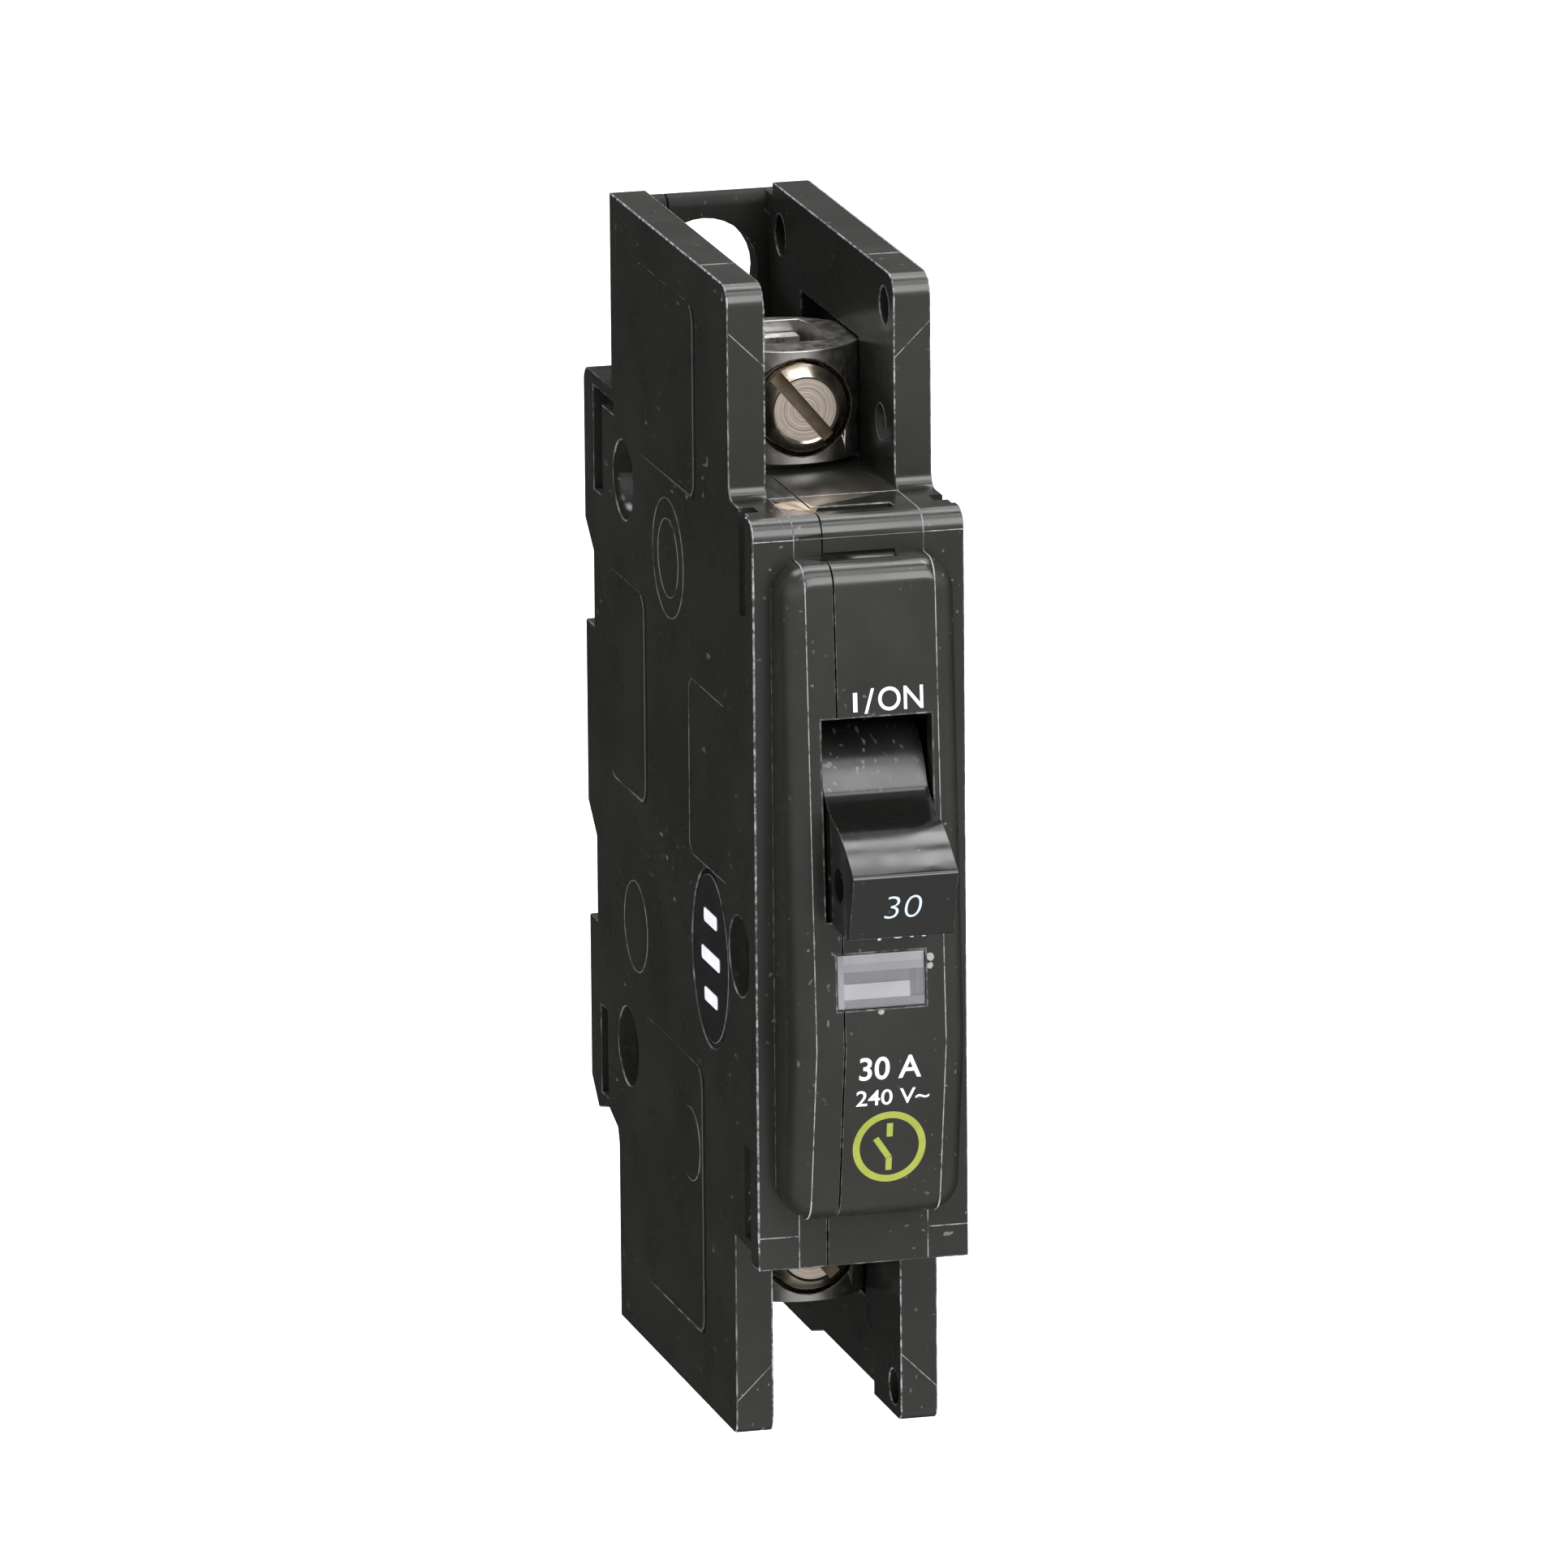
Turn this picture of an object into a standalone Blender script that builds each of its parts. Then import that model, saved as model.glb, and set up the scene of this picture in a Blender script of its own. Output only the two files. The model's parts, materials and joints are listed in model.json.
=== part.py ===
"""Single-pole unit-mount circuit breaker: moulded case, switching and trip mechanism, box lugs.

Every size is in millimetres and becomes metres when a mesh is made. The working frame starts at the
front plate's lower left corner: X runs to the right, Y to the rear and Z up. The finished part's
origin is RAIL_CENTRE, the middle of the 35 mm rail's seat on the rear of the case.
"""

import math

import bmesh
import bpy
from mathutils import Matrix, Vector

MM = 0.001
GAP = 0.3
RAIL_CENTRE = Vector((9.525, 57.7, 34.4))

# Module and case
MODULE_WIDTH = 19.05
BODY_LEFT = 0.32
BODY_RIGHT = MODULE_WIDTH - BODY_LEFT
MIDDLE_X = MODULE_WIDTH / 2
PARTING_X = 6.25
CASE_TOP = 86.3
CASE_BOTTOM = -17.5
BODY_REAR = 50.6
TAB_REAR = 60.7
RAIL_SEAT = 57.7
PLATE_HEIGHT = 67.4
PLATE_THICKNESS = 2.7
PLATE_TOP_RADIUS = 1.8
NOSE_CREST = (-6.5, 21.3)
NOSE_SLOPES = (0.0682, 0.16)
NOSE_BACK = -2.9
NOSE_X = (1.6, 17.4)
NOSE_Z = (5.1, 63.9)
NOSE_CORNER = 2.8
NOSE_EDGE = 1.9
SKIN = 1.6

# Terminal bays
BARRIER_FRONT = 9.43
BARRIER_INNER = (3.69, 15.36)
BAY_REAR = 52.5
BAY_FLOOR = 67.4
BAY_CEILING = 2.1
REAR_WALL_X = (2.2, 16.85)
REAR_WALL_BACK = 54.9
REAR_WALL_END = 1.2
REAR_HOLE_RADIUS = 4.85

# Handle: its toggle points straight forward in its own outline and is turned to OFF
PIVOT = (4.0, 40.8)
HANDLE_X = (5.1, 14.5)
HANDLE_SLOT_X = (4.8, 14.8)
HANDLE_SLOT_Z = (32.6, 50.5)
HUB_RADIUS = 8.67
HANDLE_THROW = 34.0
HANDLE_OFF = -HANDLE_THROW / 2
TOGGLE_ROOT = (6.3, 5.6)
TOGGLE_WAIST = (11.4, 4.6)
TOGGLE_TIP = (17.5, 3.25)
TOGGLE_END = (18.0, 2.75)
TOGGLE_HOLE_REACH = 13.7
TOGGLE_HOLE_RADIUS = 1.5

# Trip window
WINDOW_X = (5.65, 13.7)
WINDOW_Z = (24.7, 29.7)

# Contact arm: its pivot sits on the handle, at this radius behind the handle's own pivot
ARM_PIVOT_RADIUS = 8.0
ARM_LENGTH = 30.7
ARM_OFF_ANGLE = -4.0
ARM_ON_ANGLE = 22.06
ARM_HALF = 1.3
CONTACT_RADIUS = 2.0
CONTACT_HEIGHT = 1.2
SPRING_HOOK = 14.5

# Trip lever
LEVER_PIVOT = (13.0, 20.0)
LEVER_HOOK = (9.5, PIVOT[1])
LEVER_X = (9.2, 10.6)
POST_RADIUS = 1.6

# Bimetal's adjusting screw, along Y at this X and Z
CALIBRATION = (10.1, 21.5)

# Terminals
STRAP_X = (6.9, 12.1)
STRAP_Y = (29.4, 31.0)
PAD_Y = 29.2
LUG_HEIGHT = 10.2
LUG_RADIUS = 7.1
LUG_HALF_WIDTH = 6.4
LUG_CENTRE_Y = 25.6
LUG_BORE = 4.5
POCKET_HALF_WIDTH = 7.3
SCREW_RADIUS = 3.95
SCREW_Y = (17.5, 24.4)
SLOT_ANGLE = 50.0
LINE_LUG_BOTTOM = 67.9
LOAD_LUG_BOTTOM = -8.4

RIVETS = {"rivet_upper": (46.6, 60.9), "rivet_lower": (46.8, 8.6), "rivet_front": (7.1, 26.8)}
RIVET_HOLE = 1.9
RIVET_SINK = 3.6
RIVET_SINK_DEPTH = 3.0
BOSS_RADIUS = 4.8

STICKER_CENTRE = (17.1, 24.1)
STICKER_SIZE = (12.0, 15.2)

ARC_PLATE_LEVELS = (39.8, 42.6, 45.4, 48.2, 51.0)

MATERIALS = {
    "moulding": ((0.018, 0.018, 0.016), 0.42, 0.0),
    "handle": ((0.012, 0.012, 0.012), 0.25, 0.0),
    "lens": ((0.8, 0.8, 0.84), 0.1, 0.0),
    "red": ((0.6, 0.03, 0.02), 0.4, 0.0),
    "aluminium": ((0.62, 0.61, 0.58), 0.35, 1.0),
    "nickel": ((0.6, 0.52, 0.42), 0.3, 1.0),
    "copper": ((0.72, 0.38, 0.24), 0.3, 1.0),
    "silver": ((0.8, 0.79, 0.76), 0.3, 1.0),
    "steel": ((0.45, 0.45, 0.46), 0.35, 1.0),
    "bimetal": ((0.5, 0.45, 0.38), 0.35, 1.0),
    "fibre": ((0.35, 0.08, 0.05), 0.7, 0.0),
    "label": ((0.02, 0.02, 0.02), 0.3, 0.0),
}


def to_world(point):
    """A point of the working frame in metres from the rail seat's centre."""
    return (Vector(point) - RAIL_CENTRE) * MM


def collection(name, hidden=False):
    """A collection under the scene; a hidden one holds the cutters."""
    made = bpy.data.collections.new(name)
    bpy.context.scene.collection.children.link(made)
    made.hide_render = hidden
    return made


def material(name):
    """A Principled material with the colour, roughness and metallic value from MATERIALS."""
    if name in bpy.data.materials:
        return bpy.data.materials[name]
    colour, roughness, metallic = MATERIALS[name]
    made = bpy.data.materials.new(name)
    made.use_nodes = True
    shader = made.node_tree.nodes["Principled BSDF"]
    shader.inputs["Base Color"].default_value = (*colour, 1.0)
    shader.inputs["Roughness"].default_value = roughness
    shader.inputs["Metallic"].default_value = metallic
    return made


def tool(bm, name="tool"):
    """A helper object, kept with the cutters, whose mesh is already in place."""
    bmesh.ops.recalc_face_normals(bm, faces=bm.faces)
    mesh = bpy.data.meshes.new(name)
    bm.to_mesh(mesh)
    bm.free()
    made = bpy.data.objects.new(name, mesh)
    made.hide_render = True
    made.display_type = "WIRE"
    cutters.objects.link(made)
    return made


def block(low, high):
    """A box between two corners."""
    low, high = Vector(low), Vector(high)
    bm = bmesh.new()
    bmesh.ops.create_cube(bm, size=1.0)
    bmesh.ops.scale(bm, vec=(high - low) * MM, verts=bm.verts)
    bmesh.ops.translate(bm, vec=to_world((low + high) / 2), verts=bm.verts)
    return tool(bm)


def rod(start, end, radius, sides=24, end_radius=None):
    """A round bar between two points, tapered where an end radius is given."""
    start, end = to_world(start), to_world(end)
    bm = bmesh.new()
    second = radius if end_radius is None else end_radius
    bmesh.ops.create_cone(
        bm,
        cap_ends=True,
        segments=sides,
        radius1=radius * MM,
        radius2=second * MM,
        depth=(end - start).length,
    )
    turn = (end - start).to_track_quat("Z", "Y").to_matrix().to_4x4()
    bmesh.ops.transform(bm, matrix=Matrix.Translation((start + end) / 2) @ turn, verts=bm.verts)
    return tool(bm)


def rod_x(centre_yz, x_range, radius, sides=24):
    """A round bar along X through a point of the side view."""
    return rod((x_range[0], *centre_yz), (x_range[1], *centre_yz), radius, sides)


AXES = {
    "X": Matrix(((0, 0, 1), (1, 0, 0), (0, 1, 0))),
    "Y": Matrix(((1, 0, 0), (0, 0, -1), (0, 1, 0))),
    "Z": Matrix.Identity(3),
}


def prism(outline, axis, low, high):
    """An outline of (Y, Z), (X, Z) or (X, Y) points extruded along X, Y or Z."""
    curve = bpy.data.curves.new("outline", "CURVE")
    curve.dimensions = "2D"
    curve.fill_mode = "BOTH"
    curve.extrude = (high - low) / 2 * MM
    spline = curve.splines.new("POLY")
    spline.points.add(len(outline) - 1)
    for point, (a, b) in zip(spline.points, outline):
        point.co = (a * MM, b * MM, 0.0, 1.0)
    spline.use_cyclic_u = True
    flat = bpy.data.objects.new("outline", curve)
    cutters.objects.link(flat)
    graph = bpy.context.evaluated_depsgraph_get()
    mesh = bpy.data.meshes.new_from_object(flat.evaluated_get(graph))
    bpy.data.objects.remove(flat)
    bm = bmesh.new()
    bm.from_mesh(mesh)
    bmesh.ops.remove_doubles(bm, verts=bm.verts, dist=0.00001)
    middle = Vector((0, 0, 0))
    middle["XYZ".index(axis)] = (low + high) / 2
    place = Matrix.Translation(to_world(middle)) @ AXES[axis].to_4x4()
    bmesh.ops.transform(bm, matrix=place, verts=bm.verts)
    return tool(bm)


def arc(centre, radius, start, end, steps=8):
    """Points of an arc, its angles in degrees from the outline's first axis."""
    turns = [math.radians(start + (end - start) * k / steps) for k in range(steps + 1)]
    return [(centre[0] + radius * math.cos(t), centre[1] + radius * math.sin(t)) for t in turns]


def rounded_box(low, high, radius, steps=6):
    """The outline of a rectangle with equal round corners."""
    (a, b), (c, d) = low, high
    corners = ((c - radius, b + radius, -90), (c - radius, d - radius, 0))
    corners += ((a + radius, d - radius, 90), (a + radius, b + radius, 180))
    return [p for x, y, t in corners for p in arc((x, y), radius, t, t + 90, steps)]


def turned(points, centre, degrees):
    """Outline points turned about a point."""
    c, s = math.cos(math.radians(degrees)), math.sin(math.radians(degrees))
    return [
        (centre[0] + (a - centre[0]) * c - (b - centre[1]) * s,
         centre[1] + (a - centre[0]) * s + (b - centre[1]) * c)
        for a, b in points
    ]


def baked(obj, name):
    """A new mesh of the object as its modifiers leave it."""
    graph = bpy.context.evaluated_depsgraph_get()
    mesh = bpy.data.meshes.new_from_object(obj.evaluated_get(graph))
    mesh.name = name
    return mesh


def boolean(target, others, operation):
    """Adds one exact Boolean modifier for each tool."""
    for other in others:
        modifier = target.modifiers.new(operation.lower(), "BOOLEAN")
        modifier.operation = operation
        modifier.solver = "EXACT"
        modifier.object = other
    return target


def carved(base, add=(), cut=()):
    """The base with its additions joined on and its cutters taken out."""
    boolean(base, add, "UNION")
    return boolean(base, cut, "DIFFERENCE")


def part(name, shape, material_name, origin=None):
    """A finished sub-part: the shape's mesh, with its own origin, in the breaker's collection."""
    mesh = baked(shape, name)
    mesh.materials.clear()
    mesh.materials.append(material(material_name))
    if origin is None:
        box = [Vector(corner) for corner in shape.bound_box]
        place = (box[0] + box[6]) / 2
    else:
        place = to_world(origin)
    mesh.transform(Matrix.Translation(-place))
    mesh.shade_smooth()
    mesh.set_sharp_from_angle(angle=math.radians(30))
    made = bpy.data.objects.new(name, mesh)
    made.location = place
    breaker.objects.link(made)
    return made


def side_view(centre, distance, degrees):
    """The side-view point at a distance and angle from another, 0 degrees pointing to the rear."""
    t = math.radians(degrees)
    return (centre[0] + distance * math.cos(t), centre[1] + distance * math.sin(t))


def nose_face(z):
    """The Y of the nose's face at a height: it slopes forward from both ends to a crest."""
    above = z > NOSE_CREST[1]
    slope = NOSE_SLOPES[0] if above else NOSE_SLOPES[1]
    return NOSE_CREST[0] + slope * abs(z - NOSE_CREST[1])


def nose():
    """The raised block on the front plate, its face sloped, its corners and front edges rounded."""
    outline = rounded_box((NOSE_X[0], NOSE_Z[0]), (NOSE_X[1], NOSE_Z[1]), NOSE_CORNER)
    made = prism(outline, "Y", NOSE_CREST[0], 1.0)
    bm = bmesh.new()
    bm.from_mesh(made.data)
    front = min(v.co.y for v in bm.verts)
    rim = [e for e in bm.edges if all(v.co.y < front + 1e-6 for v in e.verts)]
    rim = [e for e in rim if any(abs(f.normal.y) < 0.5 for f in e.link_faces)]
    bmesh.ops.bevel(bm, geom=rim, offset=NOSE_EDGE * MM, segments=4, profile=0.5, affect="EDGES")
    everything = [*bm.verts, *bm.edges, *bm.faces]
    crest = to_world((0, *NOSE_CREST))
    bmesh.ops.bisect_plane(bm, geom=everything, plane_co=crest, plane_no=(0, 0, 1))
    for v in bm.verts:
        if v.co.y < crest.y + 3 * MM:
            z = v.co.z / MM + RAIL_CENTRE.z
            v.co.y += (nose_face(z) - NOSE_CREST[0]) * MM
    bm.to_mesh(made.data)
    bm.free()
    return made


def body_outline():
    """The case's side view behind the plate, with the bays' barriers and the rail tabs."""
    return [
        (2.0, 0.9), (BARRIER_FRONT, 0.9),
        *arc((BARRIER_FRONT + 1.0, CASE_BOTTOM + 1.0), 1.0, 180, 270, 4),
        (BODY_REAR, CASE_BOTTOM), (BODY_REAR, -1.4), (51.1, -0.1), (54.3, 1.0), (57.9, 0.1),
        (60.5, 2.6), (60.5, 17.6), (RAIL_SEAT, 17.6), (RAIL_SEAT, 25.5), (TAB_REAR, 28.2),
        (TAB_REAR, 45.0), (RAIL_SEAT, 45.0), (RAIL_SEAT, 51.9), (TAB_REAR, 54.4),
        *arc((TAB_REAR - 1.4, 67.1), 1.4, 0, 90, 4),
        (BODY_REAR, 68.5), (BODY_REAR, CASE_TOP),
        *arc((BARRIER_FRONT + 1.9, CASE_TOP - 1.9), 1.9, 90, 180, 6),
        *arc((BARRIER_FRONT - 1.2, BAY_FLOOR + 1.2), 1.2, 0, -90, 4),
        (2.0, BAY_FLOOR),
    ]


def cavity_outline():
    """The side view of the space that holds the mechanism."""
    return [
        (7.4, 3.9), (52.2, 3.9), (52.2, 19.0), (55.9, 19.0),
        (55.9, 53.4), (52.2, 55.6), (52.2, 65.8), (12.0, 65.8), (7.4, 61.0), (7.4, 56.5),
        (4.6, 55.5), (4.6, 13.5), (7.4, 11.5),
    ]


def rear_walls():
    """The walls behind the bays. They stand behind the barriers and end below their tips."""
    made = []
    for root, tip, turn in ((63.0, CASE_TOP - REAR_WALL_END, 1), (4.0, CASE_BOTTOM + REAR_WALL_END, -1)):
        round_centre = (REAR_WALL_BACK - 0.8, tip - 0.8 * turn)
        end = arc(round_centre, 0.8, 0, 90 * turn, 4)
        outline = [(50.0, root), (REAR_WALL_BACK, root), *end, (50.0, tip)]
        made.append(prism(outline, "X", *REAR_WALL_X))
    return made


def bay_cutters():
    """What is cut for the two terminal bays: the bay, lug pockets, wall holes and wire holes."""
    inner = BARRIER_INNER
    pocket = (MIDDLE_X - POCKET_HALF_WIDTH, MIDDLE_X + POCKET_HALF_WIDTH)
    made = []
    for floor, tip, turn, pocket_z, hole_z in (
        (BAY_FLOOR, CASE_TOP, 1, (BAY_FLOOR, 78.4), 78.1),
        (BAY_CEILING, CASE_BOTTOM, -1, (-9.0, BAY_CEILING), -9.3),
    ):
        wall_round = (BAY_REAR + 1.2, tip - (REAR_WALL_END + 1.15) * turn)
        outline = [
            (8.0, floor), (BAY_REAR, floor), *arc(wall_round, 1.2, 180, 180 - 90 * turn, 4),
            (BAY_REAR + 1.2, tip + 2.0 * turn), (8.0, tip + 2.0 * turn),
        ]
        made.append(prism(outline, "X", *inner))
        made.append(block((pocket[0], 21.3, pocket_z[0]), (pocket[1], 41.0, pocket_z[1])))
        made.append(rod((MIDDLE_X, 51, hole_z), (MIDDLE_X, 56, hole_z), REAR_HOLE_RADIUS, 32))
    for x_range in ((BODY_LEFT + 1.7, inner[0] + 1), (inner[1] - 1, BODY_RIGHT - 1.7)):
        made.append(rod_x((48.0, 82.0), x_range, 1.9, 16))
        made.append(rod_x((12.6, 83.1), x_range, 1.7, 16))
        made.append(rod_x((11.9, -14.9), x_range, 1.6, 16))
    raised = [(18.7, -19), (18.7, -16.3), (36.0, -16.3), (40.7, -17.6), (40.7, -19)]
    made.append(prism(raised, "X", MIDDLE_X, 20))
    return made


def slot_shields():
    """Ribs behind the slot's top and bottom edges that hide the mechanism above and below the drum."""
    x_range = (3.0, MODULE_WIDTH - 3.0)
    drum_z = (PIVOT[1] - HUB_RADIUS - 0.5, PIVOT[1] + HUB_RADIUS + 0.5)
    return [
        block((x_range[0], -3.2, 30.7), (x_range[1], 5.2, drum_z[0])),
        block((x_range[0], -3.2, drum_z[1]), (x_range[1], 5.2, 52.4)),
    ]


def front_cutters():
    """The handle's slot and the trip window."""
    return [
        block((HANDLE_SLOT_X[0], -9, HANDLE_SLOT_Z[0]), (HANDLE_SLOT_X[1], 0.4, HANDLE_SLOT_Z[1])),
        block((WINDOW_X[0], -9, WINDOW_Z[0]), (WINDOW_X[1], 0, WINDOW_Z[1])),
    ]


def face_slots():
    """The main case's narrow slots behind the plate's top edge and above the nose."""
    return [
        block((PARTING_X - 1, PLATE_THICKNESS, 66.2), (13.5, PLATE_THICKNESS + 1.7, 70)),
        block((PARTING_X - 1, -1.1, NOSE_Z[1] - 0.8), (12.8, 0.3, NOSE_Z[1] + 0.4)),
    ]


def edge_slots():
    """The slots behind the plate's flange and beside the rail tabs, on both sides."""
    made = []
    for x_range in ((-1, BODY_LEFT + 1.3), (BODY_RIGHT - 1.3, 20)):
        for z_range in ((57.9, 70), (1.7, 10)):
            made.append(block((x_range[0], 3.9, z_range[0]), (x_range[1], 5.9, z_range[1])))
        hook = [(54.2, 57.8), (57.2, 57.8), (57.2, 67.3), (50.0, 67.3), (50.0, 66.2), (54.2, 66.2)]
        made.append(prism(hook, "X", *x_range))
        made.append(block((x_range[0], 54.4, 1.9), (x_range[1], 56.7, 10)))
    return made


def straps_passages():
    """Where the line and load straps leave the inner space for the bays."""
    x_range = (STRAP_X[0] - 0.35, STRAP_X[1] + 0.35)
    y_range = (STRAP_Y[0] - 0.35, STRAP_Y[1] + 0.35)
    return [
        block((x_range[0], y_range[0], 65), (x_range[1], y_range[1], 69)),
        block((x_range[0], y_range[0], 1), (x_range[1], y_range[1], 5)),
    ]


def housing():
    """The whole case in one piece, before it is parted into the main case and the cover."""
    body = prism(body_outline(), "X", BODY_LEFT, BODY_RIGHT)
    plate_outline = [
        (0, 0), (PLATE_THICKNESS, 0), (PLATE_THICKNESS, PLATE_HEIGHT),
        *arc((PLATE_TOP_RADIUS, PLATE_HEIGHT - PLATE_TOP_RADIUS), PLATE_TOP_RADIUS, 90, 180, 6),
    ]
    plate = prism(plate_outline, "X", 0, MODULE_WIDTH)
    inside = prism(cavity_outline(), "X", BODY_LEFT + SKIN, BODY_RIGHT - SKIN)
    behind_nose = block((3.4, NOSE_BACK, 13), (15.6, 8, 57))
    shell = carved(body, [plate, nose(), *rear_walls()], [inside, behind_nose])
    bosses = slot_shields()
    for name, centre in RIVETS.items():
        if name == "rivet_front":
            bosses.append(rod_x(centre, (BODY_LEFT + 0.5, 4.8), 4.4))
            bosses.append(rod_x(centre, (MODULE_WIDTH - 4.8, BODY_RIGHT - 0.5), 4.4))
            bosses.append(rod_x(centre, (BODY_LEFT + 0.5, BODY_RIGHT - 0.5), 2.9))
        else:
            bosses.append(rod_x(centre, (BODY_LEFT + 0.5, BODY_RIGHT - 0.5), BOSS_RADIUS))
    bosses.append(rod_x(PIVOT, (BODY_LEFT + 1, HANDLE_X[0] - 0.4), 3.4))
    bosses.append(rod_x(PIVOT, (HANDLE_X[1] + 0.4, BODY_RIGHT - 1), 3.4))
    holes = [rod_x(PIVOT, (2.5, 5.5), 2.3, 24), rod_x(PIVOT, (14, 17.2), 2.3, 24)]
    for centre in RIVETS.values():
        holes.append(rod_x(centre, (-1, 20), RIVET_HOLE, 24))
        holes.append(rod_x(centre, (-1, BODY_LEFT + RIVET_SINK_DEPTH), RIVET_SINK))
        holes.append(rod_x(centre, (BODY_RIGHT - RIVET_SINK_DEPTH, 20), RIVET_SINK))
    cuts = holes + bay_cutters() + front_cutters() + edge_slots() + straps_passages()
    return carved(shell, bosses, cuts)


def oval(centre, width, height, steps=40):
    """An ellipse of side-view points."""
    turns = [2 * math.pi * k / steps for k in range(steps)]
    return [
        (centre[0] + width / 2 * math.cos(t), centre[1] + height / 2 * math.sin(t)) for t in turns
    ]


def case_and_cover():
    """The main case with its posts and ribs, and the thinner cover on the left."""
    whole = tool_from(housing(), "housing")
    right = block((PARTING_X + GAP / 2, -20, -40), (40, 80, 120))
    left = block((-40, -20, -40), (PARTING_X - GAP / 2, 80, 120))
    wall = BODY_RIGHT - SKIN + 0.5
    posts = [
        rod_x(LEVER_PIVOT, (LEVER_X[0] - 0.6, wall), POST_RADIUS, 24),
        rod_x(LEVER_PIVOT, (12.5, wall), 2.8, 24),
        block((7.0, 46.0, 17.5), (wall, 49.4, 25.5)),
        block((15.9, 44.6, 37.0), (wall, 45.6, 53.0)),
    ]
    x, z = CALIBRATION
    cuts = [rod((x, 45, z), (x, 50.5, z), 1.8, 20), *face_slots()]
    case = boolean(tool_from(whole, "case_half"), [right], "INTERSECT")
    part("main_case", carved(case, posts, cuts), "moulding")
    cover = boolean(tool_from(whole, "cover_half"), [left], "INTERSECT")
    ribs = [block((BODY_LEFT + 1, 44.6, 37.0), (3.1, 45.6, 53.0))]
    larger = oval(STICKER_CENTRE, STICKER_SIZE[0] + 1, STICKER_SIZE[1] + 1)
    recess = prism(larger, "X", -1, BODY_LEFT + 0.5)
    part("side_cover", carved(cover, ribs, [recess]), "moulding")


def tool_from(obj, name):
    """A helper object with the mesh of another as its modifiers leave it."""
    made = bpy.data.objects.new(name, baked(obj, name))
    made.hide_render = True
    made.display_type = "WIRE"
    cutters.objects.link(made)
    return made


def bend(start, pull, end, steps):
    """Points of a quadratic curve between two points, without the first one."""
    made = []
    for k in range(1, steps + 1):
        t = k / steps
        weights = ((1 - t) ** 2, 2 * t * (1 - t), t * t)
        made.append(tuple(sum(w * p[i] for w, p in zip(weights, (start, pull, end))) for i in (0, 1)))
    return made


def toggle_outline():
    """Half of the toggle's side view, above its centre line: hollow at the root, crowned to the tip."""
    hollow = bend(TOGGLE_ROOT, (8.5, 4.3), TOGGLE_WAIST, 7)
    crown = bend(TOGGLE_WAIST, (13.2, 4.75), TOGGLE_TIP, 7)
    return [TOGGLE_ROOT, *hollow, *crown, TOGGLE_END]


def handle():
    """The handle: a drum in the slot, a toggle in front and two cheeks that carry the arm."""
    upper = [(PIVOT[0] - a, PIVOT[1] + h) for a, h in toggle_outline()]
    lower = [(PIVOT[0] - a, PIVOT[1] - h) for a, h in reversed(toggle_outline())]
    toggle = [(PIVOT[0], PIVOT[1] + 5.3), *upper, *lower, (PIVOT[0], PIVOT[1] - 5.3)]
    toggle = turned(toggle, PIVOT, -HANDLE_OFF)
    arm_pivot = side_view(PIVOT, ARM_PIVOT_RADIUS, -HANDLE_OFF)
    cross_hole = side_view(PIVOT, -TOGGLE_HOLE_REACH, -HANDLE_OFF)
    body = prism(toggle, "X", *HANDLE_X)
    add = [
        rod_x(PIVOT, HANDLE_X, HUB_RADIUS, 48),
        rod_x(arm_pivot, HANDLE_X, 2.9),
        rod_x(PIVOT, (2.8, MODULE_WIDTH - 2.2), 2.0, 24),
    ]
    hollow_x = (6.9, 12.7)
    open_y = (PIVOT[0] + 0.8, PIVOT[0] + 16)
    open_z = (PIVOT[1] - 12, PIVOT[1] + 12)
    behind = [(open_y[0], open_z[0]), (open_y[1], open_z[0]), (open_y[1], open_z[1])]
    behind.append((open_y[0], open_z[1]))
    cut = [
        rod_x(PIVOT, hollow_x, 6.6, 36),
        prism(turned(behind, PIVOT, -HANDLE_OFF), "X", *hollow_x),
        rod_x(arm_pivot, (HANDLE_X[0] - 1, HANDLE_X[1] + 1), 1.5, 24),
        rod_x(cross_hole, (4, 16), TOGGLE_HOLE_RADIUS, 24),
    ]
    part("handle", carved(body, add, cut), "handle", (MIDDLE_X, *PIVOT))


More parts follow.
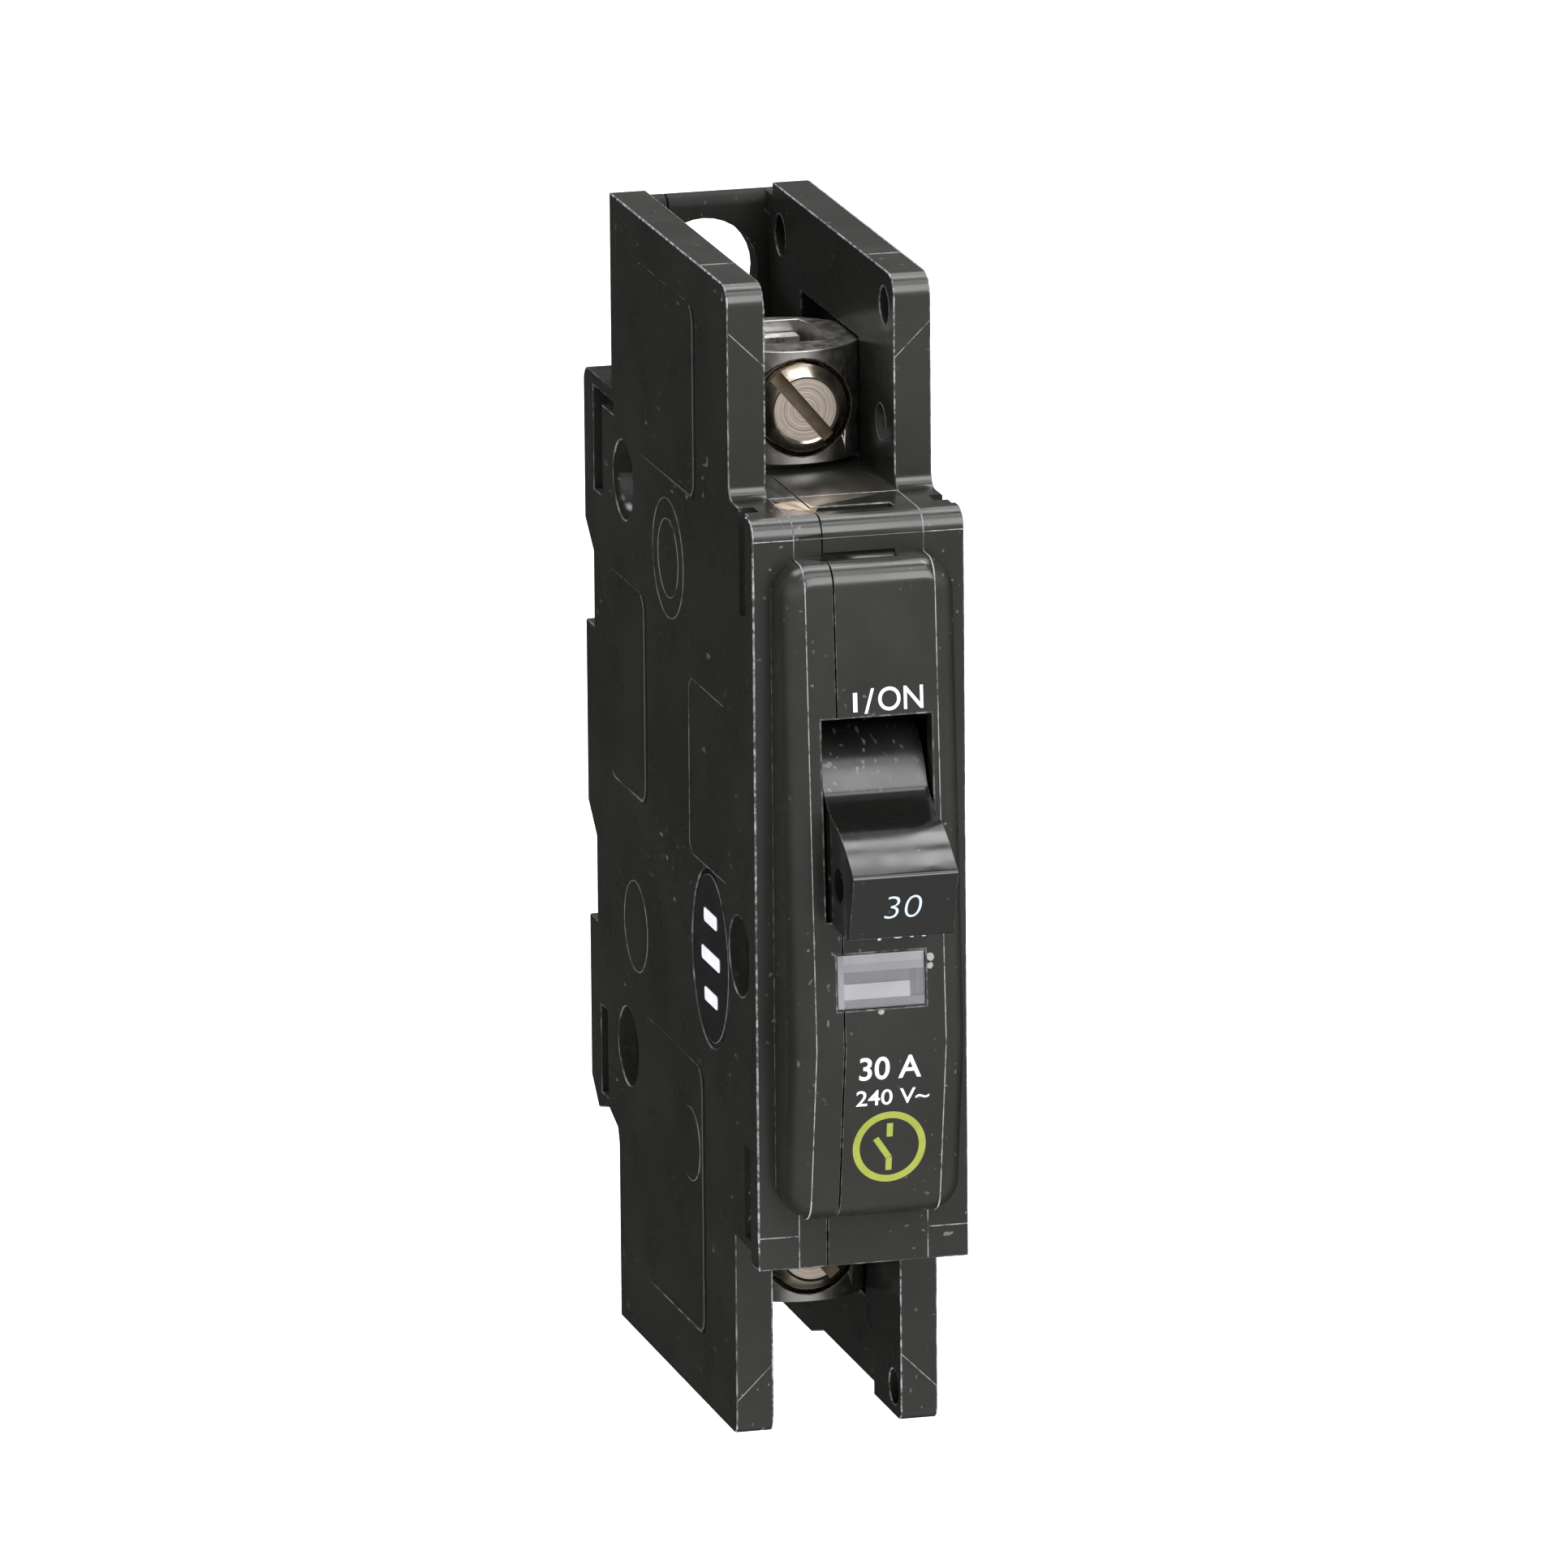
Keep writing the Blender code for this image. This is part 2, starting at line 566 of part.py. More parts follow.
def contact_arm():
    """The moving contact arm: a fork on the handle's cheeks, a bar and the contact button."""
    pivot = side_view(PIVOT, ARM_PIVOT_RADIUS, -HANDLE_OFF)
    tip = pivot[0] + ARM_LENGTH

    def lie(points):
        return turned(points, pivot, ARM_OFF_ANGLE)

    bar = [
        *arc((pivot[0], pivot[1]), 2.1, 90, 270, 8),
        (pivot[0] + 3, pivot[1] - ARM_HALF), (tip + 2.0, pivot[1] - ARM_HALF),
        (tip + 2.0, pivot[1] + ARM_HALF), (pivot[0] + 3, pivot[1] + ARM_HALF),
    ]
    between = [(pivot[0] - 5, pivot[1] - 5), (pivot[0] + 19, pivot[1] - 5)]
    between += [(pivot[0] + 19, pivot[1] + 5), (pivot[0] - 5, pivot[1] + 5)]
    hook = lie([(pivot[0] + SPRING_HOOK, pivot[1])])[0]
    body = prism(lie(bar), "X", 7.2, 12.4)
    fork = carved(body, (), [prism(lie(between), "X", 8.1, 11.5)])
    trunnions = [rod_x(pivot, (5.4, 7.7), 1.2, 20), rod_x(pivot, (11.9, 14.2), 1.2, 20)]
    shape = carved(tool_from(fork, "fork"), [*trunnions, rod_x(hook, (7.7, 11.9), 0.6, 12)])
    part("contact_arm", shape, "copper", (MIDDLE_X, *pivot))
    low = lie([(tip, pivot[1] + ARM_HALF + GAP)])[0]
    high = lie([(tip, pivot[1] + ARM_HALF + GAP + CONTACT_HEIGHT)])[0]
    button = rod((9.8, *low), (9.8, *high), CONTACT_RADIUS)
    part("moving_contact", button, "silver")
    toggle_spring(hook)


def toggle_spring(hook):
    """The tension spring from the trip lever's hook to the arm's cross-bar."""
    start = Vector((9.8, *LEVER_HOOK))
    end = Vector((9.8, *hook))
    along = (end - start).normalized()
    up = along.cross(Vector((1, 0, 0)))
    turns, steps, radius, wire = 7, 8, 1.35, 0.28
    first, last = 3.6, (end - start).length - 2.4
    points = [start + along * 2.0]
    for k in range(turns * steps + 1):
        angle = 2 * math.pi * k / steps
        ahead = first + (last - first) * k / (turns * steps)
        points.append(
            start + along * ahead + up * radius * math.cos(angle)
            + Vector((1, 0, 0)) * radius * math.sin(angle)
        )
    points.append(end - along * 1.3)
    part("toggle_spring", wire_shape(points, wire), "steel", start)


def wire_shape(points, radius):
    """A round wire along points, with filled caps, as a mesh."""
    curve = bpy.data.curves.new("wire", "CURVE")
    curve.dimensions = "3D"
    curve.bevel_depth = radius * MM
    curve.bevel_resolution = 2
    curve.use_fill_caps = True
    spline = curve.splines.new("POLY")
    spline.points.add(len(points) - 1)
    for point, place in zip(spline.points, points):
        point.co = (*to_world(place), 1.0)
    wire = bpy.data.objects.new("wire", curve)
    cutters.objects.link(wire)
    mesh = baked(wire, "wire")
    bpy.data.objects.remove(wire)
    bm = bmesh.new()
    bm.from_mesh(mesh)
    bmesh.ops.remove_doubles(bm, verts=bm.verts, dist=0.00001)
    return tool(bm)


def window_and_flag():
    """The clear lens in the nose and the red flag that the trip lever lifts behind it."""
    low, high = WINDOW_Z[0] + 0.25, WINDOW_Z[1] - 0.25
    outline = [(-2.0, low), (-2.0, high), (nose_face(high) + 0.05, high), (nose_face(low) + 0.05, low)]
    pane = prism(outline, "X", WINDOW_X[0] + 0.25, WINDOW_X[1] - 0.25)
    flange = block((4.7, NOSE_BACK + GAP, 23.5), (14.7, -1.7, 30.4))
    part("window_lens", carved(pane, [flange]), "lens")
    side = [
        (-1.5, 18.0), (-1.5, 22.7), (-0.5, 22.7), (-0.5, 20.2), (10.5, 20.6), (13.0, 23.4),
        *arc(LEVER_PIVOT, 3.4, 60, -90, 8), (10.0, 17.4), (-0.5, 18.0),
    ]
    arm = prism(side, "X", 10.9, 12.2)
    panel = block((7.0, -1.5, 18.0), (13.2, -0.5, 22.7))
    hole = rod_x(LEVER_PIVOT, (10, 13), POST_RADIUS + GAP, 24)
    part("trip_flag", carved(arm, [panel], [hole]), "red", (11.5, *LEVER_PIVOT))


def trip_lever():
    """The trip lever: a flat steel plate from the post to the spring hook and the latch tip."""
    y, z = LEVER_PIVOT
    outline = [
        *arc((y, z), 3.4, 180, 290, 8), (y + 12, z + 0.6), (y + 20.6, z + 2.6), (y + 20.6, z + 4.6),
        (y + 12, z + 4.4), (y + 4.5, z + 5.4), (y + 1.6, z + 12), (LEVER_HOOK[0] + 2.4, 38.8),
        (LEVER_HOOK[0] + 1.4, 41.2), (LEVER_HOOK[0] + 0.5, 42.2), (LEVER_HOOK[0] - 1.2, 42.2),
        (LEVER_HOOK[0] - 1.2, 38.6), (y - 2.0, z + 9),
    ]
    hook = rod_x(LEVER_HOOK, (8, 12), 0.7, 12)
    hole = rod_x(LEVER_PIVOT, (8, 12), POST_RADIUS + GAP, 24)
    shape = carved(prism(outline, "X", *LEVER_X), (), [hole, hook])
    part("trip_lever", shape, "steel", (LEVER_X[0], *LEVER_PIVOT))


def magnetic_and_thermal_trip():
    """The bimetal, the magnet yoke around it, the armature, its spring and the adjusting screw."""
    frame = block((6.4, 37.2, 12.0), (13.8, 42.7, 28.0))
    channel = block((7.6, 36.0, 11.0), (12.6, 41.5, 29.0))
    part("magnet_yoke", carved(frame, (), [channel]), "steel")
    part("bimetal", block((8.2, 39.0, 6.3), (12.0, 39.8, 35.0)), "bimetal")
    plate = block((7.0, 34.6, 10.0), (13.4, 35.6, 31.0))
    ears = [rod((5.8, 35.1, 31.0), (14.4, 35.1, 31.0), 0.5, 16)]
    window = block((8.6, 34.0, 22.0), (11.2, 36.0, 27.0))
    part("armature", carved(plate, ears, [window]), "steel", (10.1, 35.1, 31.0))
    leaf = [(36.2, 28.6), (36.2, 31.6), (40.8, 31.6), (40.8, 28.6), (41.2, 28.6), (41.2, 32.0)]
    leaf += [(35.9, 32.0), (35.9, 28.6)]
    part("armature_spring", prism(leaf, "X", 12.5, 14.0), "steel")
    x, z = CALIBRATION
    head = rod((x, 49.7, z), (x, 51.3, z), 2.6)
    shank = rod((x, 43.0, z), (x, 50.0, z), 1.5, 20)
    slot = block((x - 3, 50.6, z - 0.35), (x + 3, 52, z + 0.35))
    part("calibration_screw", carved(head, [shank], [slot]), "nickel")


def conductors():
    """The line strap with its fixed contact, the load strap and the flexible braid."""
    tip_on = side_view(side_view(PIVOT, ARM_PIVOT_RADIUS, HANDLE_OFF), ARM_LENGTH, ARM_ON_ANGLE)
    normal = side_view((0, 0), 1.0, ARM_ON_ANGLE + 90)
    along = side_view((0, 0), 1.0, ARM_ON_ANGLE)
    face = ARM_HALF + GAP + CONTACT_HEIGHT + GAP
    under = face + CONTACT_HEIGHT + GAP

    def above_tip(height, ahead=0.0):
        return (
            tip_on[0] + normal[0] * height + along[0] * ahead,
            tip_on[1] + normal[1] * height + along[1] * ahead,
        )

    end = above_tip(under, 3.2)
    start = above_tip(under, (STRAP_Y[1] - above_tip(under)[0]) / along[0])
    thickness = STRAP_Y[1] - STRAP_Y[0]
    lower = [end, start, (STRAP_Y[0] + 0.6, start[1]), (STRAP_Y[0], start[1] + 0.8)]
    lower += [(STRAP_Y[0], 68.2), (PAD_Y, 68.4), (PAD_Y, 77.0), (STRAP_Y[1], 77.0)]
    top = above_tip(under + thickness, (STRAP_Y[1] - above_tip(under + thickness)[0]) / along[0])
    lower += [top, above_tip(under + thickness, 3.2)]
    part("line_strap", prism(lower, "X", *STRAP_X), "copper")
    fixed = rod((9.8, *above_tip(face)), (9.8, *above_tip(face + CONTACT_HEIGHT)), CONTACT_RADIUS)
    part("fixed_contact", fixed, "silver")
    load = [
        (PAD_Y, -7.6), (STRAP_Y[1], -7.6), (STRAP_Y[1], 4.3), (41.7, 4.3), (41.7, 11.0),
        (40.1, 11.0), (40.1, 5.0 + thickness - 0.7), (STRAP_Y[0] + 0.6, 5.9), (STRAP_Y[0], 5.3),
        (STRAP_Y[0], 1.4), (PAD_Y, 1.2),
    ]
    part("load_strap", prism(load, "X", *STRAP_X), "copper")


def lug(name, bottom, screw_name):
    """A box lug with its wire opening, and the slotted screw that clamps the wire."""
    body = rod((MIDDLE_X, LUG_CENTRE_Y, bottom), (MIDDLE_X, LUG_CENTRE_Y, bottom + LUG_HEIGHT),
               LUG_RADIUS, 48)
    sides = [
        block((MIDDLE_X + side * 12 - 12 + LUG_HALF_WIDTH * side, 15, bottom - 1),
              (MIDDLE_X + side * 12 + 12 + LUG_HALF_WIDTH * side, 36, bottom + LUG_HEIGHT + 1))
        for side in (-1, 1)
    ]
    middle = bottom + LUG_HEIGHT / 2
    opening = [(6.0, 22.4), (13.05, 22.4), (13.05, 28.8), (12.5, 31.35), (6.5, 31.35), (6.0, 28.8)]
    wire_way = prism(opening, "Z", bottom - 1, bottom + LUG_HEIGHT + 1)
    bore = rod((MIDDLE_X, 17, middle), (MIDDLE_X, 24.8, middle), LUG_BORE)
    part(name, carved(body, (), [*sides, wire_way, bore]), "aluminium")
    radius = SCREW_RADIUS
    shank = rod((MIDDLE_X, SCREW_Y[0] + 0.8, middle), (MIDDLE_X, SCREW_Y[1], middle), radius)
    face = rod((MIDDLE_X, SCREW_Y[0], middle), (MIDDLE_X, SCREW_Y[0] + 0.9, middle), 3.1, 32, radius)
    slot_y = (SCREW_Y[0] - 1, SCREW_Y[0] + 1.6)
    slot = block((MIDDLE_X - 5, slot_y[0], middle - 0.6), (MIDDLE_X + 5, slot_y[1], middle + 0.6))
    centre = to_world((MIDDLE_X, SCREW_Y[0], middle))
    turn = Matrix.Translation(centre) @ Matrix.Rotation(math.radians(SLOT_ANGLE), 4, "Y")
    slot.data.transform(turn @ Matrix.Translation(-centre))
    part(screw_name, carved(shank, [face], [slot]), "nickel", (MIDDLE_X, SCREW_Y[0], middle))


def arc_chute():
    """Steel plates with V notches around the arm's tip, held between two fibre sides."""
    notch = [(3.9, 46.0), (7.4, 46.0), (9.8, 50.5), (12.2, 46.0), (15.2, 46.0), (15.2, 54.8)]
    notch.append((3.9, 54.8))
    for k, level in enumerate(ARC_PLATE_LEVELS):
        part(f"arc_plate_{k + 1}", prism(notch, "Z", level, level + 1.0), "steel")
    for name, x in (("arc_side_left", 3.0), ("arc_side_right", 15.5)):
        part(name, block((x, 46.0, 38.6), (x + 0.6, 54.8, 52.4)), "fibre")


def rivets():
    """Tubular rivets through the case, their heads sunk below both faces."""
    sink = RIVET_SINK_DEPTH
    for name, centre in RIVETS.items():
        left = (BODY_LEFT + sink - GAP - 1.0, BODY_LEFT + sink - GAP)
        right = (BODY_RIGHT - sink + GAP, BODY_RIGHT - sink + GAP + 1.0)
        shank = rod_x(centre, (left[1] - 0.5, right[0] + 0.5), RIVET_HOLE - GAP, 20)
        heads = [rod_x(centre, left, 3.2), rod_x(centre, right, 3.2)]
        dimples = [rod_x(centre, (left[0] - 1, left[1] + 2), 1.0, 12)]
        dimples.append(rod_x(centre, (right[0] - 2, right[1] + 1), 1.0, 12))
        part(name, carved(shank, heads, dimples), "nickel")


def sticker():
    """A plain oval label, flush in its recess on the cover."""
    shape = prism(oval(STICKER_CENTRE, *STICKER_SIZE), "X", BODY_LEFT, BODY_LEFT + 0.2)
    part("oval_label", shape, "label")


def braid():
    """The flexible lead from the contact arm to the bimetal's free end."""
    route = [(29.0, 40.4), (29.6, 38.6), (31.4, 37.0), (34.0, 36.6), (36.4, 37.6), (38.0, 38.0),
             (39.3, 37.2), (39.4, 35.4)]
    points = []
    for k in range(len(route) - 1):
        before = Vector(route[max(k - 1, 0)])
        here, there = Vector(route[k]), Vector(route[k + 1])
        after = Vector(route[min(k + 2, len(route) - 1)])
        for step in range(3):
            t = step / 3
            points.append(
                0.5 * (2 * here + (there - before) * t
                       + (2 * before - 5 * here + 4 * there - after) * t * t
                       + (3 * here - before - 3 * there + after) * t ** 3)
            )
    points.append(Vector(route[-1]))
    part("braid", wire_shape([(10.1, *p) for p in points], 0.8), "copper")


for old in list(bpy.data.objects):
    bpy.data.objects.remove(old)
breaker = collection("circuit_breaker")
cutters = collection("cutters", hidden=True)

case_and_cover()
handle()
window_and_flag()
contact_arm()
trip_lever()
magnetic_and_thermal_trip()
conductors()
arc_chute()
lug("line_lug", LINE_LUG_BOTTOM, "line_screw")
lug("load_lug", LOAD_LUG_BOTTOM, "load_screw")
rivets()
sticker()
braid()
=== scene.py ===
"""Looks of the single-pole circuit breaker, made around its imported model.

Shapes are made in millimetres in the front plate's frame: X runs right from the plate's left edge,
Y back from its front face and Z up from its lower edge. into_frame() turns them into the frame's metres.
"""

import json
import math

import bmesh
import bpy
from mathutils import Matrix, Vector


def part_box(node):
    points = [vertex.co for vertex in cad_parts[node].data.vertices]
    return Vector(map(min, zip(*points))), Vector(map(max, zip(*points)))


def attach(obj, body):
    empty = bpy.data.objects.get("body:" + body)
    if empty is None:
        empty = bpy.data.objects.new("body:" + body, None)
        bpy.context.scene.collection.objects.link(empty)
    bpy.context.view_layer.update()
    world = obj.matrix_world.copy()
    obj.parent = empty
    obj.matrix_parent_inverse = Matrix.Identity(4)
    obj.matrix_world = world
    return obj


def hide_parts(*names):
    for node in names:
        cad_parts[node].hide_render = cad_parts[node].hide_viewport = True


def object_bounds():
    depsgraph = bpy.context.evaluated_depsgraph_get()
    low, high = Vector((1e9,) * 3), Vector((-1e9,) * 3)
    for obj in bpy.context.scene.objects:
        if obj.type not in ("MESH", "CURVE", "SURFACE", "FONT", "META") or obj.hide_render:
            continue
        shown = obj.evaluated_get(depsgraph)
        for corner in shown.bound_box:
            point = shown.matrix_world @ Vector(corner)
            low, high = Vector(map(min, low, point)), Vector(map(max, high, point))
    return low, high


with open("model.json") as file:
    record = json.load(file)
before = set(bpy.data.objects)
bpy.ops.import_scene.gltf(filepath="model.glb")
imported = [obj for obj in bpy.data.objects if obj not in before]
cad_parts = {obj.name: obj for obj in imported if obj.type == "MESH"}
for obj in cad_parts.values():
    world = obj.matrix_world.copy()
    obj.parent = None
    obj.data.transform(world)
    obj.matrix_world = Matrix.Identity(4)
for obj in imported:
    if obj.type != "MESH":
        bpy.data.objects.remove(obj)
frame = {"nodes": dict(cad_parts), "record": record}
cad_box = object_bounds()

MM = 0.001
WELD = 0.002

# The plate's lower left front corner in the frame, from the CAD's own boxes and the record's mounts
MOUNTS = {mount["name"]: Vector(mount["pos_m"]) for mount in frame["record"]["mounts"]}
PLATE_FACE = MOUNTS["front_flange"].y
PLATE_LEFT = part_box("side_cover")[0].x
PLATE_BOTTOM = MOUNTS["front_flange"].z - 2.5 * MM
CORNER = Vector((PLATE_LEFT, PLATE_FACE, PLATE_BOTTOM))

# Case
WIDTH = (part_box("main_case")[1].x - PLATE_LEFT) / MM
MIDDLE_X = WIDTH / 2
BODY_LEFT = 0.32
BODY_RIGHT = WIDTH - BODY_LEFT
PARTING_X = 6.25
SEAM_HALF = 0.065
PLATE_TOP = 67.4
PLATE_ROUND = 1.8
PLATE_THICKNESS = 2.7
NOSE_CREST = (-6.5, 21.3)
NOSE_SLOPES = (0.0682, 0.16)
NOSE_Z = (5.1, 63.9)
NOSE_EDGE = 1.9
WITNESS_X = (3.69, 15.37)
BARRIER_FRONT = 9.43
BARRIER_TOP = 86.3
BARRIER_BOTTOM = -17.5
BARRIER_INNER = (3.69, 15.36)
SHELF_LINE_Y = 8.5
LOW_LINE_Z = 2.95
CAVITY_WALL = 1.2
CAVITY_Y = (-2.0, 56.2)
CAVITY_Z = (3.2, 66.0)

# Narrow slots in the side faces: their depth, and where they are behind the flange and beside the rail tabs
SIDE_SLOT_DEPTH = 1.8
FLANGE_SLOT_Y = (3.3, 6.4)
TAB_SLOT_Y = (49.9, 57.6)
SIDE_SLOTS_BELOW = 10.2
SIDE_SLOTS_ABOVE = 57.5

# Handle
PIVOT = (4.0, 40.8)
OFF_ANGLE = 17.0
HANDLE_X = (5.1, 14.5)
HUB_RADIUS = 8.67
CREASE_ANGLE = 38.5
TOGGLE_WAIST = (11.4, 4.6)
TOGGLE_TIP = (17.55, 3.25)
TOGGLE_END = (18.0, 2.8)
PIN_X = (2.8, WIDTH - 2.2)
PIN_RADIUS = 2.0
EAR_REACH = 8.0
EAR_RADIUS = 2.9
CROSS_BORE_RADIUS = 1.5
CROSS_HOLE_REACH = -13.7
HOLLOW_X = (6.9, 12.7)
HOLLOW_RADIUS = 6.6
NUMBER_X = (8.1, 11.4)
NUMBER_RISE = (-1.05, 1.15)

# Openings in the nose
SLOT_X = (4.8, 14.8)
SLOT_Z = (32.6, 50.5)
WINDOW_X = (5.65, 13.7)
WINDOW_Z = (24.7, 29.7)

# Trip window's lens
LENS_X = (5.72, 13.63)
LENS_Z = (24.78, 29.62)
LENS_REAR = -2.4

# Screws and lugs
SCREW_RADIUS = 3.95
SCREW_FACE_RADIUS = 3.0
SCREW_Y = (17.5, 24.4)
SCREW_LEVELS = {"line": 73.0, "load": -3.3}
SCREW_PITCH = 1.06
SCREW_STEPS = 72
SCREW_ROWS = 64
THREAD_DEPTH = 0.32
THREAD_START = 0.9
CHAMFER_LENGTH = 0.85
SLOT_ANGLE = 50.0
SLOT_WIDTH = 1.2
SLOT_DEPTH = 1.6
LUG_BORE = 4.5
LUG_HALF_HEIGHT = 5.1
LUG_FRONT = 18.5

# Printing: half its thickness, the sign's centre and size, and the label
INK_HALF = 0.02
SIGN_CENTRE = (10.55, 11.87)
SIGN_RADIUS = 3.3
SIGN_RING = 0.62
SIGN_STROKE = 0.55
LABEL_CENTRE = (17.1, 24.1)
LABEL_SIZE = (12.0, 15.2)
LABEL_BARS = ((-3.6, 2.2), (0.0, 3.1), (3.6, 2.2))
BAR_HALF_HEIGHT = 0.62

# Side panels as (lowest Y, lowest Z, highest Y, highest Z)
PANELS = ((21.6, 64.7, 41.4, 82.0), (39.7, 32.7, 52.0, 51.7), (20.6, -11.3, 41.0, 13.0))
PANEL_DEPTH = 0.28
PANEL_SLOPE = 2.0
PANEL_CORNER = 1.6
PANEL_SHADE_GAP = 0.65
PIN_MARKS = ((30.8, 57.3, 5.4), (30.8, 57.3, 3.55), (43.6, 20.5, 4.15), (25.7, 5.0, 3.35))

# Camera
CAMERA_TARGET = Vector((-0.00117, -0.03603, 0.00391))
CAMERA_DISTANCE = 1.6357
CAMERA_AZIMUTH = -14.773
CAMERA_ELEVATION = 13.98
CAMERA_ROLL = -0.487
CAMERA_LENS = 425.0

FLOOR_SIZE = 6.0
FLOOR_DROP = 0.06

# Softboxes: name, azimuth from the front, elevation, distance, size and radiance
LIGHT_AIM = Vector((0.0, -0.04, 0.0))
SOFTBOXES = (
    ("overhead_wide", 180.0, 74.75, 1.0, (1.0, 0.166), 8.0),
    ("overhead_narrow", 180.0, 85.0, 1.0, (1.0, 0.087), 8.0),
    ("behind_top", 180.0, 54.5, 1.0, (1.0, 0.55), 2.6),
    ("front_low", 17.8, 34.9, 1.3, (0.67, 0.8), 6.5),
    ("front_high", 10.0, 67.0, 1.2, (0.8, 0.4), 3.8),
)


# Materials


def tree_of(name, colour, roughness, metallic=0.0, **constants):
    """A new material: its node tree and Principled shader, with constant values on the sockets."""
    made = bpy.data.materials.new(name)
    made.use_nodes = True
    tree = made.node_tree
    shader = tree.nodes["Principled BSDF"]
    shader.inputs["Base Color"].default_value = (*colour, 1.0)
    shader.inputs["Roughness"].default_value = roughness
    shader.inputs["Metallic"].default_value = metallic
    for key, value in constants.items():
        shader.inputs[key.replace("_", " ")].default_value = value
    return made, tree, shader


def add(tree, kind, inputs=None, **settings):
    """A node with its settings; each input takes a value or another node's output."""
    made = tree.nodes.new("ShaderNode" + kind)
    for key, value in settings.items():
        setattr(made, key, value)
    for key, value in (inputs or {}).items():
        if isinstance(value, bpy.types.NodeSocket):
            tree.links.new(value, made.inputs[key])
        else:
            made.inputs[key].default_value = value
    return made


def place_of(tree, stretch=(1.0, 1.0, 1.0)):
    """The point on the piece in metres, stretched along the axes."""
    where = add(tree, "TexCoord").outputs["Object"]
    return add(tree, "Mapping", {"Vector": where, "Scale": stretch}).outputs["Vector"]


def grain(tree, size_mm, detail=3.0, stretch=(1.0, 1.0, 1.0), rough=0.55):
    """Noise with features of about that size."""
    inputs = {"Vector": place_of(tree, stretch), "Scale": 1.0 / (size_mm * MM), "Detail": detail}
    inputs["Roughness"] = rough
    return add(tree, "TexNoise", inputs).outputs["Fac"]


def ramp(tree, value, low, high, start=0.0, end=1.0):
    """The value mapped from one range to another, held at its ends."""
    inputs = {"Value": value, "From Min": low, "From Max": high, "To Min": start, "To Max": end}
    return add(tree, "MapRange", inputs).outputs["Result"]


def math_of(tree, operation, first, second=0.0):
    """One math operation on two values."""
    return add(tree, "Math", {0: first, 1: second}, operation=operation).outputs[0]


def mixed(tree, share, first, second):
    """Two colours mixed by a share, which is a node's output."""
    made = tree.nodes.new("ShaderNodeMix")
    made.data_type = "RGBA"
    for key, value in ((0, share), (6, first), (7, second)):
        if isinstance(value, bpy.types.NodeSocket):
            tree.links.new(value, made.inputs[key])
        else:
            made.inputs[key].default_value = (*value, 1.0)
    return made.outputs[2]


def bump(tree, shader, height, strength, distance_mm):
    """Fine relief on the shader's normal, after any that is there."""
    inputs = {"Height": height, "Strength": strength, "Distance": distance_mm * MM}
    if shader.inputs["Normal"].is_linked:
        inputs["Normal"] = shader.inputs["Normal"].links[0].from_socket
    made = add(tree, "Bump", inputs)
    tree.links.new(made.outputs["Normal"], shader.inputs["Normal"])


def spot(tree, centre, radius_mm):
    """A ragged patch round a point of the plate's frame: 1 inside and 0 outside."""
    where = add(tree, "TexCoord").outputs["Object"]
    inputs = {0: where, 1: tuple(into_frame(centre))}
    apart = add(tree, "VectorMath", inputs, operation="DISTANCE").outputs["Value"]
    wobble = math_of(tree, "MULTIPLY", grain(tree, 0.7, 3.0), radius_mm * MM)
    reach = math_of(tree, "ADD", apart, wobble)
    return ramp(tree, reach, radius_mm * 1.5 * MM, radius_mm * 1.42 * MM)


def moulding(name, dark, light, roughness, dust, specular=0.5, spots=()):
    """Black moulded plastic: uneven sheen, a fine skin, patches of dust, and single spots, which are worn
    patches and, where given, a painted highlight.
    """
    made, tree, shader = tree_of(name, dark, roughness, Specular_IOR_Level=specular)
    broad = grain(tree, 14.0, 4.0)
    colour = mixed(tree, ramp(tree, broad, 0.35, 0.7), dark, light)
    specks = ramp(tree, grain(tree, 0.5, 0.0, (1.0, 0.35, 1.0)), dust, dust + 0.06)
    patches = ramp(tree, grain(tree, 9.0, 2.0), 0.48, 0.66)
    marks = math_of(tree, "MULTIPLY", math_of(tree, "MULTIPLY", specks, patches), 0.7)
    colour = mixed(tree, marks, colour, (0.16, 0.16, 0.155))
    for centre, radius, tint in spots:
        colour = mixed(tree, spot(tree, centre, radius), colour, tint)
    tree.links.new(colour, shader.inputs["Base Color"])
    sheen = ramp(tree, grain(tree, 5.0, 2.0), 0.3, 0.7, roughness - 0.06, roughness + 0.08)
    tree.links.new(sheen, shader.inputs["Roughness"])
    bump(tree, shader, grain(tree, 1.1, 1.0), 0.05, 0.02)
    bump(tree, shader, grain(tree, 7.0, 1.0), 0.04, 0.05)
    return made


def worn_edge(name, dark, light, cover, size_mm):
    """A moulding's rounded edge, rubbed light along part of its length."""
    made, tree, shader = tree_of(name, light, 0.42)
    rubbed = ramp(tree, grain(tree, size_mm, 4.0, rough=0.7), cover, cover + 0.16)
    tree.links.new(mixed(tree, rubbed, dark, light), shader.inputs["Base Color"])
    bump(tree, shader, grain(tree, 0.15, 2.0), 0.25, 0.03)
    return made


def metal(name, dark, light, roughness, size_mm, stretch=(1.0, 1.0, 1.0), strength=0.2):
    """Plated or rolled metal with uneven colour and fine relief."""
    made, tree, shader = tree_of(name, light, roughness, 1.0)
    patch = ramp(tree, grain(tree, size_mm * 6.0, 4.0, stretch), 0.3, 0.7)
    tree.links.new(mixed(tree, patch, dark, light), shader.inputs["Base Color"])
    sheen = ramp(tree, grain(tree, size_mm * 3.0, 4.0, stretch), 0.3, 0.7, roughness - 0.07, roughness + 0.1)
    tree.links.new(sheen, shader.inputs["Roughness"])
    bump(tree, shader, grain(tree, size_mm, 3.0, stretch), strength, 0.04)
    return made


